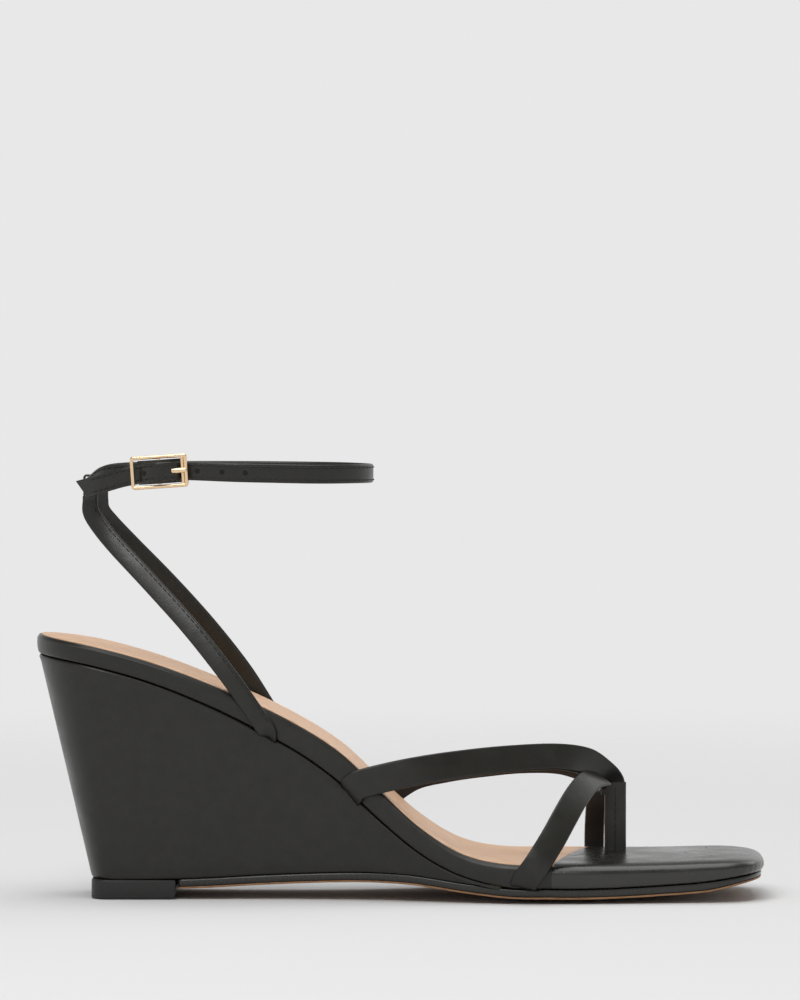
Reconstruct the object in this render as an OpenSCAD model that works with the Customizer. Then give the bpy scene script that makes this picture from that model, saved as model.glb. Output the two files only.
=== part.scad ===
// Strappy wedge sandal for the right foot, sample size EU 37, with a toe post and a buckled ankle strap.
// X runs from heel to toe, Y towards the inner side of the foot, Z up, in millimetres.
// The origin is on the ground under the middle of the heel's top piece.

/* [Footbed] */
// Farthest back point of the footbed
heel_x = -30; // [-31:0.5:-29]
// Tip of the toe
toe_x = 202; // [200:0.5:204]
// Height of the footbed's top edge at the back of the heel
heel_h = 83.9; // [82:0.1:86]
// Reach of the rounded heel end along the foot
heel_round = 26; // [24:0.5:28]
// Reach of the rounded toe corners along the foot
toe_round = 17; // [15:0.5:19]
// How square the toe is, where 2 is an ellipse
toe_square = 3.4; // [2.6:0.1:4]
// Width of the leather edge left showing round the sock lining
edge_show = 1.3; // [1:0.1:1.8]

/* [Sole] */
// Height of the top piece under the heel
top_piece_h = 6.2; // [5.8:0.1:6.6]
// Length of the top piece
top_piece_l = 27; // [26:0.5:28]
// Width of the top piece
top_piece_w = 43; // [42:0.5:44]
// Thickness of the black runner between the wedge and the outsole
runner_t = 2.4; // [2.2:0.1:2.6]
// Thickness of the leather outsole
outsole_t = 0.6; // [0.5:0.05:0.7]
// How far the sole's edges curl up at the ball of the foot
sole_camber = 1.4; // [1:0.1:1.8]

/* [Straps] */
// Thickness of a strap's outer leather
strap_t = 1.2; // [1:0.1:1.3]
// Thickness of a strap's lining
lining_t = 0.6; // [0.5:0.05:0.7]
// Width of the two crossed instep straps
instep_w = 9.2; // [8.8:0.1:9.6]
// Width of the strap over the toes
toe_strap_w = 8.4; // [8:0.1:8.8]
// Width of the loop round the big toe
toe_loop_w = 6.4; // [6:0.1:6.8]
// Width of the toe post
post_w = 7; // [6.6:0.1:7.4]
// Width of the sling straps at the heel
sling_w = 5.8; // [5.4:0.1:6.2]
// Width of the ankle strap
ankle_w = 6; // [5.8:0.1:6.2]
// Thickness of the ankle strap
ankle_t = 1.5; // [1.4:0.05:1.6]

/* [Buckle] */
// Outside length of the buckle frame
buckle_l = 18.6; // [18.2:0.1:19]
// Outside height of the buckle frame
buckle_h = 10.6; // [10.4:0.1:11]
// Thickness of the buckle's bars
bar_t = 1.2; // [1.1:0.05:1.3]
// Tilt of the buckle, its front end up
buckle_tilt = 4; // [3:0.5:5]

/* [Hidden] */

gap = 0.08;         // glue line between pieces that lie against each other
seat = 0.25;        // open seam line under the footbed
black = "#2e2d29";
lining_black = "#3a2f28";
tan_leather = "#d9a77f";
gold = "#e2b98a";

// ---- Curves and rings -------------------------------------------------------------------------

// Slope at point i of a list of [x, value] points.
function knot_slope(p, i) =
    let (a = max(i - 1, 0), b = min(i + 1, len(p) - 1))
    (p[b][1] - p[a][1]) / (p[b][0] - p[a][0]);

// Which stretch between points x falls in.
function stretch(p, x, i = 0) = (i >= len(p) - 2 || x < p[i + 1][0]) ? i : stretch(p, x, i + 1);

// Smooth cubic curve through a list of [x, value] points, level beyond its ends.
function curve(p, x) =
    x <= p[0][0] ? p[0][1] : x >= p[len(p) - 1][0] ? p[len(p) - 1][1] :
    let (i = stretch(p, x), a = p[i], b = p[i + 1], h = b[0] - a[0], t = (x - a[0]) / h,
         ma = knot_slope(p, i) * h, mb = knot_slope(p, i + 1) * h)
    a[1] * (2*t*t*t - 3*t*t + 1) + ma * (t*t*t - 2*t*t + t)
    + b[1] * (3*t*t - 2*t*t*t) + mb * (t*t*t - t*t);

// 0 before a, 1 after b and an even rise between.
function ramp(x, a, b) = min(1, max(0, (x - a) / (b - a)));

heel_steps = 6;
side_steps = 20;
toe_steps = 7;

// An outline is [heel x, heel reach, heel power, toe x, toe reach, toe power, lateral, medial].
// Its stations are [x, share of the width], drawn in from the edge by inset.
function stations(o, inset) = concat(
    [for (i = [0:heel_steps - 1]) let (a = 90 * i / heel_steps)
        [o[0] + inset + (o[1] - inset) * (1 - pow(cos(a), 2 / o[2])), pow(sin(a), 2 / o[2])]],
    [for (i = [0:side_steps]) let (u = i / side_steps)
        [(o[0] + o[1]) * (1 - u) + (o[3] - o[4]) * u, 1]],
    [for (i = [1:toe_steps]) let (a = 90 * i / toe_steps)
        [o[3] - o[4] + (o[4] - inset) * pow(sin(a), 2 / o[5]), pow(cos(a), 2 / o[5])]]);

// A closed ring of points round an outline, at the height that zf(x, y) gives.
function ring(o, inset, zf) =
    let (s = stations(o, inset), n = len(s) - 1)
    concat(
        [for (q = s) let (y = -(curve(o[6], q[0]) - inset) * q[1]) [q[0], y, zf(q[0], y)]],
        [for (j = [n - 1:-1:1]) let (q = s[j], y = (curve(o[7], q[0]) - inset) * q[1])
            [q[0], y, zf(q[0], y)]]);

// Faces between ring a and ring b, each of m points.
function wall(a, b, m) = [for (i = [0:m - 1]) let (j = (i + 1) % m)
    each [[a*m + i, b*m + i, b*m + j], [a*m + i, b*m + j, a*m + j]]];

// Faces that close a ring by joining its lateral points to its medial ones.
function lid(a, m, up) = [for (j = [0:m/2 - 1])
    let (l = a*m + j, l2 = a*m + j + 1, r = a*m + (m - j) % m, r2 = a*m + m - j - 1)
    each [if (j > 0) up ? [l, r, r2] : [l, r2, r],
          if (j < m/2 - 1) up ? [l, r2, l2] : [l, l2, r2],
          if (j == m/2 - 1) []]];

// A solid of rings stacked from bottom to top.
module stack(rings) {
    m = len(rings[0]);
    top = len(rings) - 1;
    polyhedron([for (r = rings) each r],
        [for (f = concat([for (k = [0:top - 1]) each wall(k, k + 1, m)],
            lid(0, m, false), lid(top, m, true))) if (len(f) == 3) f]);
}

// A solid band of rings that runs up outside, across, down inside and back to the first ring.
module band(rings) {
    m = len(rings[0]);
    n = len(rings);
    polyhedron([for (r = rings) each r], [for (k = [0:n - 1]) each wall(k, (k + 1) % n, m)]);
}

// ---- Straps -----------------------------------------------------------------------------------

function unit(v) = v / norm(v);

// Point at share t between rows b and c of a smooth path.
function between(a, b, c, d, t) =
    0.5 * (2*b + (c - a)*t + (2*a - 5*b + 4*c - d)*t*t + (3*b - a - 3*c + d)*t*t*t);

// A smooth path through rows of [point, width direction], with steps pieces between rows.
function smooth(rows, steps) =
    let (n = len(rows) - 1)
    concat([for (i = [0:n - 1], k = [0:steps - 1])
        let (a = rows[max(i - 1, 0)], b = rows[i], c = rows[i + 1], d = rows[min(i + 2, n)],
             t = k / steps)
        [between(a[0], b[0], c[0], d[0], t), unit(between(a[1], b[1], c[1], d[1], t))]],
        [rows[n]]);

// Ring of a flat strap with softened edges. off moves it along the face's normal.
function strap_ring(at, along, wide, w, t, off) =
    let (face = unit(cross(along, wide)), side = unit(cross(face, along)),
         e = min(t / 2, w / 4), c = at + face * off)
    [c - side*w/2, c - side*(w/2 - e) - face*t/2, c + side*(w/2 - e) - face*t/2,
     c + side*w/2, c + side*(w/2 - e) + face*t/2, c - side*(w/2 - e) + face*t/2];

// A strap of width w and thickness t along a path. Its lower layers have a negative off.
module strap(path, w, t, off = 0) {
    n = len(path) - 1;
    rings = [for (i = [0:n]) let (along = path[min(i + 1, n)][0] - path[max(i - 1, 0)][0])
        strap_ring(path[i][0], along, path[i][1], w, t, off)];
    m = 6;
    polyhedron([for (r = rings) each r], concat(
        [for (k = [0:n - 1]) each wall(k, k + 1, m)],
        [[for (i = [0:m - 1]) i], [for (i = [m - 1:-1:0]) n*m + i]]));
}

// ---- Footbed and sole lines -------------------------------------------------------------------

// Half widths of the footbed on the outer and the inner side of the foot.
bed_lateral = [[-5, 26.5], [20, 27], [45, 27], [70, 29], [95, 35], [120, 39.5], [140, 40],
    [165, 37.5], [190, 35], [202, 33]];
bed_medial = [[-5, 26], [20, 24.5], [45, 21.5], [70, 22.5], [95, 28], [120, 34.5], [140, 36.5],
    [165, 35], [190, 32.5], [202, 31]];
bed = [heel_x, heel_round, 2.1, toe_x, toe_round, toe_square, bed_lateral, bed_medial];

// The wedge where it meets the ground side: narrow at the heel, as wide as the bed at the ball.
foot_lateral = [[-6, 21.5], [15, 21.8], [40, 22], [70, 25.5], [95, 33], [121, 38.8], [140, 39.4],
    [165, 37], [190, 34.5], [202, 32.5]];
foot_medial = [[-6, 21.5], [15, 21], [40, 19], [70, 20], [95, 26.5], [121, 33.8], [140, 36],
    [165, 34.5], [190, 32], [202, 30.5]];
wedge_end = 121;

// Heights along the foot: the bed's top edge, the seam under it and the top of the runner.
bed_line = [[-30, heel_h], [-10, 80.3], [10, 74.7], [30, 67], [50, 57.8], [67, 47.3], [80, 35],
    [92, 24.1], [105, 16], [118, 12.8], [135, 12.3], [160, 12.1], [180, 12.3], [202, 12.7]];
seam_line = [[-30, 77.7], [-12, 74.5], [7, 69.2], [26, 61.6], [41, 54.2], [55, 46.4], [67, 37.6],
    [79, 26.5], [91, 16.6], [102, 9.9], [112, 6.1], [121, 4]];
runner_line = [[-13, top_piece_h], [1, top_piece_h], [23, 6.7], [45, 7.9], [67, 8.8], [80, 8.9],
    [92, 8.2], [108, 5.6], [122, 3.6], [136, 3], [150, 3.2], [168, 4.2], [185, 5.7], [202, 9]];

function camber(x, y) = sole_camber * ramp(x, 95, 132) * pow(abs(y) / 38, 3);
function runner_z(x, y) = curve(runner_line, x) + camber(x, y);
// The runner is thinned towards the tip of the toe.
function runner_base(x, y) = runner_z(x, y) - runner_t * (1 - 0.5 * ramp(x, 184, 202));
// Vertical depth of one millimetre measured square to the bed.
function upright(x) = norm([1, (curve(bed_line, x + 1) - curve(bed_line, x - 1)) / 2]);
// Layers get thinner towards the turned-up toe.
function toe_thin(x) = 1 - 0.42 * ramp(x, 150, 202);
function layer_z(x, d) = curve(bed_line, x) - d * upright(x) * toe_thin(x);
function seam_z(x, y) =
    x < wedge_end ? max(curve(seam_line, x), curve(runner_line, x) + seat) + camber(x, y)
                  : runner_z(x, y) + seat;

binding_t = 1.4;    // thickness of the edge binding on the bed's side
margin_w = 9;       // width of the turned-in margins above and below
margin_t = 0.6;     // thickness of a turned-in margin
foam_d = [1.55, 3.6];
board_d = [3.7, 5.25];

// The sock lining ends, and the toe cover starts, along one slanting line.
cover_x = 141.6;
cover_slant = 11;
module toe_side(shift = 0) {
    translate([cover_x + shift, 0, 0]) rotate([0, 0, -cover_slant])
        translate([0, -80, -10]) cube([120, 160, 140]);
}
module heel_side(shift = 0) {
    translate([cover_x + shift, 0, 0]) rotate([0, 0, -cover_slant])
        translate([-220, -80, -10]) cube([220, 160, 140]);
}

// ---- Strap paths ------------------------------------------------------------------------------

post_at = [155.2, 7];   // middle of the toe post where it stands in the footbed

// Outer instep strap, from the seam forwards and over to the toe post.
instep_lateral_path = smooth([
    [[70.6, -25.5, 33.6], [-0.62, 0, 0.78]],
    [[70.4, -29.6, 34.4], [-0.6, 0.05, 0.8]],
    [[72.6, -31.6, 37], [-0.45, 0.12, 0.89]],
    [[82, -32.2, 39.6], [-0.28, 0.16, 0.95]],
    [[94, -30.4, 41.9], [-0.2, 0.24, 0.95]],
    [[108, -25.4, 43.6], [-0.12, 0.36, 0.92]],
    [[122, -18.2, 44.6], [-0.05, 0.5, 0.86]],
    [[136, -9.2, 44.6], [0.12, 0.6, 0.79]],
    [[146.5, -1.4, 42.4], [0.42, 0.55, 0.72]],
    [[151, 3.3, 38.2], [0.75, 0.35, 0.55]],
    [[154.2, 6.4, 35.4], [0.95, 0.1, 0.3]],
    [[154.6, 7, 31.5], [1, 0, 0.1]]], 2);

// Inner instep strap, which ends under the outer one.
instep_medial_path = smooth([
    [[79.5, 20, 26], [0.68, 0, -0.73]],
    [[79.6, 24.4, 26.8], [0.66, 0.05, -0.75]],
    [[81, 26.8, 29.4], [0.55, 0.12, -0.83]],
    [[90, 28.2, 35.6], [0.36, 0.14, -0.92]],
    [[101, 27.2, 38.4], [0.28, 0.2, -0.94]],
    [[113, 24.4, 40.3], [0.18, 0.3, -0.94]],
    [[125, 20.2, 41.4], [0.1, 0.45, -0.89]],
    [[137, 15, 41.2], [-0.1, 0.55, -0.83]],
    [[146, 10.6, 38.8], [-0.4, 0.5, -0.77]],
    [[151.6, 8.2, 35.6], [-0.72, 0.3, -0.62]]], 2);

// Strap over the toes, from under the footbed's outer edge to the toe post.
toe_strap_path = smooth([
    [[124.6, -35, 5.2], [0.97, 0, -0.05]],
    [[124.8, -39.4, 5.6], [0.95, 0, -0.2]],
    [[125.8, -41.4, 8], [0.87, -0.1, -0.4]],
    [[129.4, -42, 13.2], [0.85, -0.1, -0.5]],
    [[134, -38, 20.2], [0.84, 0, -0.54]],
    [[138.2, -30.4, 27], [0.84, 0.08, -0.54]],
    [[142.2, -20.6, 32.8], [0.84, 0.1, -0.53]],
    [[146.4, -9.6, 36.8], [0.84, 0.1, -0.53]],
    [[150.6, 0, 37.2], [0.86, 0.1, -0.5]]], 2);

// Loop round the big toe, from under the footbed's inner edge to the toe post.
toe_loop_path = smooth([
    [[149.4, 31.4, 5.1], [-0.99, 0, 0]],
    [[149.4, 35.8, 5.5], [-0.99, 0, 0]],
    [[149.4, 37.8, 8.2], [-0.99, 0, 0]],
    [[149.3, 38.4, 13], [-0.99, 0, 0.05]],
    [[149.4, 36.4, 20.4], [-0.98, 0, 0.1]],
    [[149.8, 30.8, 27.6], [-0.97, 0, 0.2]],
    [[150.8, 22.8, 32.6], [-0.96, 0, 0.28]],
    [[152.4, 15, 34.4], [-0.95, 0, 0.3]],
    [[153.6, 9.6, 34], [-0.95, 0, 0.3]]], 2);

// Sling straps, from the seam up and back to the loop behind the ankle.
sling_lateral_path = smooth([
    [[44.6, -22.6, 51.6], [0.86, 0, -0.5]],
    [[44.4, -26.8, 52], [0.85, 0, -0.52]],
    [[43, -28.8, 55.2], [0.82, 0.05, 0.2]],
    [[38.6, -28.6, 61.8], [0.8, 0.05, 0.58]],
    [[30.6, -26.8, 72.8], [0.8, 0.1, 0.6]],
    [[19.4, -22.6, 86.6], [0.74, 0.12, 0.66]],
    [[7, -16.6, 100], [0.7, 0.1, 0.7]],
    [[-4.2, -10.4, 111.6], [0.68, 0.1, 0.73]],
    [[-10, -6.8, 118.4], [0.76, -0.1, 0.62]],
    [[-12.8, -4.6, 122.8], [0.82, -0.35, 0.42]],
    [[-13, -3.6, 126.4], [0.8, -0.55, 0.1]]], 2);
sling_medial_path = smooth([
    [[46.2, 17, 50.6], [-0.86, 0, 0.5]],
    [[46, 21.2, 51], [-0.85, 0, 0.52]],
    [[45, 23.2, 54.6], [-0.82, 0.05, -0.2]],
    [[41.4, 23.4, 61], [-0.8, 0.05, -0.58]],
    [[34.4, 22.6, 71.8], [-0.8, 0.1, -0.6]],
    [[23.6, 20, 85.6], [-0.74, 0.1, -0.66]],
    [[11.4, 15.8, 99.4], [-0.7, 0.1, -0.7]],
    [[-0.4, 10.4, 111.8], [-0.68, 0.1, -0.73]],
    [[-7, 6.4, 119], [-0.76, -0.1, -0.62]],
    [[-9.7, 4.2, 122.8], [-0.85, -0.35, -0.4]],
    [[-10, 3.1, 126.4], [-0.8, -0.58, -0.1]],
    [[-9.9, 2.9, 129.6], [-0.75, -0.66, 0]]], 2);

// ---- Ankle strap and buckle -------------------------------------------------------------------

loop_at = [-13.6, 0, 130.6];    // middle of the back loop, on the ankle strap's hinge axis
buckle_at = [9.8, -26.2, 136];  // middle of the buckle's centre bar
buckle_yaw = -11;               // turn of the buckle round the ankle
fold_t = 0.9;                   // thickness of the strap where it is thinned and folded

bar_r = bar_t / 2;
eye_gap = 0.05;                 // radial running clearance on the centre bar
fold_r = bar_r + eye_gap + fold_t;
end_bar = 2.2;                  // width of the bar that the prong rests on

// A place in the buckle's own frame: along the strap, outwards from the ankle, and up.
function on_buckle(p) =
    let (c = cos(buckle_tilt), s = sin(buckle_tilt), x = p[0]*c - p[2]*s, z = p[0]*s + p[2]*c,
         cy = cos(buckle_yaw), sy = sin(buckle_yaw), y = -p[1])
    buckle_at + [x*cy - y*sy, x*sy + y*cy, z];
module in_buckle() {
    translate(buckle_at) rotate([0, 0, buckle_yaw]) rotate([0, -buckle_tilt, 0]) children();
}
up = [0, 0, 1];

// Run of the ankle strap: from its fold on the centre bar, through the back loop, round the ankle,
// back to the buckle, in and out of its bars, and on outside itself to the pointed end.
ankle_path = smooth([
    [on_buckle([-0.8, -1.05, 0]), up],
    [on_buckle([-4.6, -2.5, 0]), up],
    [on_buckle([-8.7, -4.1, 0.1]), up],
    [on_buckle([-13, -5, 0.2]), up],
    [[-8.4, -14, 134.4], up],
    [[-12.7, -6.4, 131.3], up],
    [[-13.6, 0, 130.6], up],
    [[-12.7, 6.4, 131.3], up],
    [[-8.4, 14.4, 134.2], up],
    [[0, 21, 135], up],
    [[14, 25.8, 135.2], up],
    [[32, 27.8, 135.2], up],
    [[50, 26.4, 135.1], up],
    [[66, 20, 135], up],
    [[75, 9, 134.9], up],
    [[76.6, -3, 134.9], up],
    [[72, -14, 135], up],
    [[60, -23, 135.1], up],
    [[44, -27.6, 135.5], up],
    [[28, -28.8, 135.9], up],
    [on_buckle([13.4, -2.3, -0.8]), up],
    [on_buckle([8, -2.4, -0.3]), up],
    [on_buckle([3.9, 0.9, -0.1]), up],
    [on_buckle([0, 2.5, 0]), up],
    [on_buckle([-3.9, 0.9, -0.2]), up],
    [on_buckle([-8, -2.3, -0.6]), up],
    [on_buckle([-13, -2.9, -1.2]), up],
    [on_buckle([-20, -4.9, -2.6]), up],
    [on_buckle([-27.5, -9.5, -3.9]), up]], 3);

// ---- Pieces -----------------------------------------------------------------------------------

// Rubber heel tip: rounded corners in plan and a rounded lower front edge.
module top_piece() {
    corner = 6;
    front_r = 2;
    x0 = -12.2;
    color("#262522") intersection() {
        linear_extrude(top_piece_h)
            translate([x0, -top_piece_w / 2]) {
                translate([0, corner]) square([top_piece_l, top_piece_w - 2*corner]);
                translate([corner, 0]) square([top_piece_l - corner, top_piece_w]);
                for (y = [corner, top_piece_w - corner]) translate([corner, y]) circle(corner);
            }
        translate([0, top_piece_w, 0]) rotate([90, 0, 0]) linear_extrude(2 * top_piece_w) {
            translate([x0, 0]) square([top_piece_l - front_r, top_piece_h]);
            translate([x0, front_r]) square([top_piece_l, top_piece_h - front_r]);
            translate([x0 + top_piece_l - front_r, front_r]) circle(front_r);
        }
    }
}

// Two dowels that hold the top piece in the wedge.
module top_piece_pins() {
    color("silver") for (y = [-11, 11]) translate([2, y, 2.5]) cylinder(h = 13, r = 1.6);
}

function wedge_outline(inset) = [
    [heel_x, heel_round, 2.1, wedge_end, 6, 4, bed_lateral, bed_medial],
    [-12.6, 9, 3, wedge_end, 6, 4, foot_lateral, foot_medial]];

// Ring between the wedge's top and bottom rings, share u of the way up.
function wedge_ring(inset, u, drop_top, lift_bottom) =
    let (o = wedge_outline(),
         hi = ring(o[0], inset + 0.5, function(x, y) seam_z(x, y) - seat - drop_top),
         lo = ring(o[1], inset, function(x, y) runner_z(x, y) + gap + lift_bottom))
    [for (i = [0:len(hi) - 1]) lo[i] * (1 - u) + hi[i] * u];

// Room for the strap ends, which turn in under the footbed. pocket_rows of each path lie in it.
pocket_rows = 7;
module pocket(path, w) {
    strap([for (i = [0:pocket_rows - 1]) path[i]], w + 0.6, strap_t + 1);
}
module heel_pockets() {
    pocket(instep_lateral_path, instep_w);
    pocket(instep_medial_path, instep_w);
    pocket(sling_lateral_path, sling_w);
    pocket(sling_medial_path, sling_w);
}
module ball_pockets() {
    pocket(toe_strap_path, toe_strap_w);
    pocket(toe_loop_path, toe_loop_w);
}

// Moulded wedge under the heel and arch.
module wedge_core() {
    color("#b08a5a") difference() {
        stack([wedge_ring(1.1, 0, 0.6, 0.6), wedge_ring(1.1, 1, 0.6, 0.6)]);
        heel_pockets();
        shank_shape(14.4, 2.2);
        for (y = [-11, 11]) translate([2, y, 0]) cylinder(h = 15.6, r = 1.6);
    }
}

// Leather wrapped round the wedge, its edges turned in above and below.
module wedge_cover() {
    color(black) difference() {
        band([wedge_ring(0, 0, 0, 0), wedge_ring(0, 1, 0.7, 0), wedge_ring(0.6, 1, 0, 0),
            wedge_ring(margin_w, 1, 0, 0), wedge_ring(margin_w, 1, 0.5, 0),
            wedge_ring(1, 1, 0.5, 0), wedge_ring(1, 0, 0, 0.5),
            wedge_ring(8, 0, 0, 0.5), wedge_ring(8, 0, 0, 0)]);
        heel_pockets();
    }
}

sole_outline = [15, 3, 6, toe_x - 0.6, toe_round, toe_square, foot_lateral, foot_medial];

// Black runner between the wedge or footbed and the outsole.
module runner() {
    color("#2b2a27") stack(concat(
        [for (d = [20, 9, 0]) ring(sole_outline, d, function(x, y) runner_base(x, y))],
        [for (d = [0, 9, 20]) ring(sole_outline, d, function(x, y) runner_z(x, y))]));
}

// Thin leather outsole, whose edge shows as a pale line.
module outsole() {
    bottom = gap + outsole_t;
    color("#c9935a") stack(concat(
        [for (d = [20, 9, 0.3]) ring(sole_outline, d, function(x, y) runner_base(x, y) - bottom)],
        [ring(sole_outline, 0, function(x, y) runner_base(x, y) - bottom + outsole_t / 2)],
        [for (d = [0, 9, 20]) ring(sole_outline, d, function(x, y) runner_base(x, y) - gap)]));
}

module post_slot(clear) {
    translate([post_at[0] - post_w/2 - clear, post_at[1] - 1.4 - clear, 0])
        cube([post_w + 2*clear, 2.8 + 2*clear, 40]);
}

// Fibre board that the footbed is built on.
module insole_board() {
    color("#8f7350") difference() {
        stack([for (d = [board_d[1], board_d[0]])
            ring(bed, binding_t + 0.2, function(x, y) layer_z(x, d))]);
        post_slot(0.2);
        heel_pockets();
    }
}

// Steel strip along the arch, in the shape shank_shape draws.
module shank_shape(w, t) {
    d = board_d[1] + 0.9;
    strap([for (x = [-8:9:100])
        [[x, 0, layer_z(x, d)], [0, 1, 0]]], w, t);
}
module shank() {
    color("#8c9096") shank_shape(13, 1.2);
}

rivet_x = [4, 82];
function bed_angle(x) = atan((curve(bed_line, x + 1) - curve(bed_line, x - 1)) / 2);

// Rivets that hold the shank to the board.
module shank_rivets() {
    color("#b0b4b8") for (x = rivet_x)
        translate([x, 0, layer_z(x, board_d[1] + 1.6)]) rotate([0, -bed_angle(x), 0])
            cylinder(h = 3.1, r = 1.8);
}

// Screw and nails that hold the footbed to the wedge at the heel.
module heel_screws() {
    color("#a8acb0") {
        translate([-14, 0, layer_z(-14, board_d[0]) - 20]) {
            cylinder(h = 19, r = 2);
            translate([0, 0, 17.3]) cylinder(h = 2, r1 = 2, r2 = 4);
        }
        for (a = [60, 130, 230, 300]) let (x = -6 + 13*cos(a), y = 13*sin(a))
            translate([x, y, layer_z(x, board_d[0]) - 16]) cylinder(h = 15.8, r = 0.9);
    }
}

// Filler under the forefoot, between the board and the turned-in margins.
module bottom_filler() {
    filler = [110, 6, 3, toe_x, toe_round, toe_square, bed_lateral, bed_medial];
    color("#a98c66") difference() {
        stack([
            ring(filler, 3, function(x, y) seam_z(x, y) + margin_t + 0.3),
            ring(filler, 3, function(x, y)
                max(layer_z(x, board_d[1]) - 0.2, seam_z(x, y) + margin_t + 0.5))]);
        ball_pockets();
    }
}

// Foam under the sock lining.
module footbed_foam() {
    color("#e6dcc6") difference() {
        stack([for (d = [foam_d[1], foam_d[0]])
            ring(bed, binding_t + 0.2, function(x, y) layer_z(x, d))]);
        post_slot(0.2);
    }
}

// Leather binding that wraps the footbed's edge from the seam to under the sock lining.
module edge_binding() {
    top_in = edge_show + 0.6;
    color(black) difference() {
        band([
            ring(bed, 0.8, function(x, y) seam_z(x, y)),
            ring(bed, 0.1, function(x, y) seam_z(x, y) + 1),
            ring(bed, -0.2, function(x, y) (seam_z(x, y) + curve(bed_line, x)) / 2),
            ring(bed, 0.1, function(x, y) curve(bed_line, x) - 1.2),
            ring(bed, 0.7, function(x, y) layer_z(x, 0.2)),
            ring(bed, edge_show, function(x, y) layer_z(x, 0.1)),
            ring(bed, top_in, function(x, y) layer_z(x, 0.8)),
            ring(bed, margin_w, function(x, y) layer_z(x, 0.8)),
            ring(bed, margin_w, function(x, y) layer_z(x, 1.4)),
            ring(bed, binding_t, function(x, y) layer_z(x, 1.4)),
            ring(bed, binding_t, function(x, y) seam_z(x, y) + margin_t),
            ring(bed, margin_w, function(x, y) seam_z(x, y) + margin_t),
            ring(bed, margin_w, function(x, y) seam_z(x, y))]);
        toe_side();
        heel_pockets();
        pocket(toe_strap_path, toe_strap_w);
    }
}

// The stretch of the bed that the toe cover and its pad need.
toe_bed = [120, 4, 4, toe_x, toe_round, toe_square, bed_lateral, bed_medial];

// Top of the toe cover, crowned towards the middle.
function toe_top(x, y) = curve([[120, 12.6], [165, 12.6], [190, 13.1], [202, 12.8]], x)
    + 0.9 * (1 - pow(min(1, abs(y) / 36), 2));

// Thin pad under the toe cover.
module toe_pad() {
    color("#ddd3bd") difference() {
        stack([
            ring(toe_bed, binding_t + 0.2, function(x, y) layer_z(x, foam_d[0]) + gap),
            ring(toe_bed, 3.4, function(x, y) toe_top(x, y) - 1.2),
            ring(toe_bed, 14, function(x, y) toe_top(x, y) - 1.2)]);
        heel_side(0.2);
        post_slot(0.2);
    }
}

// Leather cover over the square toe, turned in below: its rings run out of the hollow, round the
// turned-in margin and up the outside.
module toe_cover() {
    color(black) difference() {
        stack([
            ring(toe_bed, 14, function(x, y) toe_top(x, y) - 1.1),
            ring(toe_bed, 3.2, function(x, y) toe_top(x, y) - 1.1),
            ring(toe_bed, binding_t, function(x, y) toe_top(x, y) - 2.3),
            ring(toe_bed, binding_t, function(x, y) seam_z(x, y) + margin_t),
            ring(toe_bed, margin_w, function(x, y) seam_z(x, y) + margin_t),
            ring(toe_bed, margin_w, function(x, y) seam_z(x, y)),
            ring(toe_bed, 0.8, function(x, y) seam_z(x, y)),
            ring(toe_bed, 0.1, function(x, y) seam_z(x, y) + 1),
            ring(toe_bed, -0.2, function(x, y) (seam_z(x, y) + toe_top(x, y)) / 2),
            ring(toe_bed, 0.2, function(x, y) toe_top(x, y) - 1.6),
            ring(toe_bed, 1.1, function(x, y) toe_top(x, y) - 0.5),
            ring(toe_bed, 3, function(x, y) toe_top(x, y)),
            ring(toe_bed, 14, function(x, y) toe_top(x, y))]);
        heel_side();
        post_slot(0.15);
        pocket(toe_loop_path, toe_loop_w);
    }
}

// Tan leather sock on the footbed.
module sock_lining() {
    color(tan_leather) difference() {
        stack([
            ring(bed, edge_show + 0.7, function(x, y) layer_z(x, 0.75)),
            ring(bed, edge_show + 0.1, function(x, y) layer_z(x, 0.05)),
            ring(bed, edge_show + 0.4, function(x, y) layer_z(x, -0.2)),
            ring(bed, edge_show + 2, function(x, y) layer_z(x, -0.35)),
            ring(bed, 14, function(x, y) layer_z(x, -0.1))]);
        toe_side(-0.1);
    }
}

under = -(strap_t + lining_t) / 2 - gap;

// A lining stops short of the strap's turned-in start and of its sewn end.
function lined(path, cut) = [for (i = [pocket_rows - 2:len(path) - 1 - cut]) path[i]];

module instep_strap_lateral() { color(black) strap(instep_lateral_path, instep_w, strap_t); }
module instep_lining_lateral() {
    color(lining_black) strap(lined(instep_lateral_path, 3), instep_w - 0.4, lining_t, under);
}
module instep_strap_medial() { color(black) strap(instep_medial_path, instep_w, strap_t); }
module instep_lining_medial() {
    color(lining_black) strap(lined(instep_medial_path, 2), instep_w - 0.4, lining_t, under);
}
module toe_strap() { color(black) strap(toe_strap_path, toe_strap_w, strap_t); }
module toe_strap_lining() {
    color(lining_black) strap(lined(toe_strap_path, 2), toe_strap_w - 0.4, lining_t, -under);
}
module toe_loop() { color(black) strap(toe_loop_path, toe_loop_w, strap_t); }
module toe_loop_lining() {
    color(lining_black) strap(lined(toe_loop_path, 2), toe_loop_w - 0.4, lining_t, -under);
}

// Folded strap between the toes, its foot through a slot in the footbed.
module toe_post() {
    color(black) strap([for (z = [7.4, 12, 20, 28, 35.4]) [[post_at[0], post_at[1], z], [1, 0, 0]]],
        post_w, 2.6);
}

module sling_lateral() { color(black) strap(sling_lateral_path, sling_w, strap_t + 0.2); }
module sling_medial() { color(black) strap(sling_medial_path, sling_w, strap_t + 0.2); }

// Leather loop behind the ankle that the ankle strap runs through.
module back_loop() {
    wide = 6;
    room = [2.9, wide + 1, 7.1];
    wall_t = 0.9;
    color(black) translate(loop_at) difference() {
        cube([room[0] + 2*wall_t, wide, room[2] + 2*wall_t], center = true);
        cube(room, center = true);
    }
}

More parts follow.
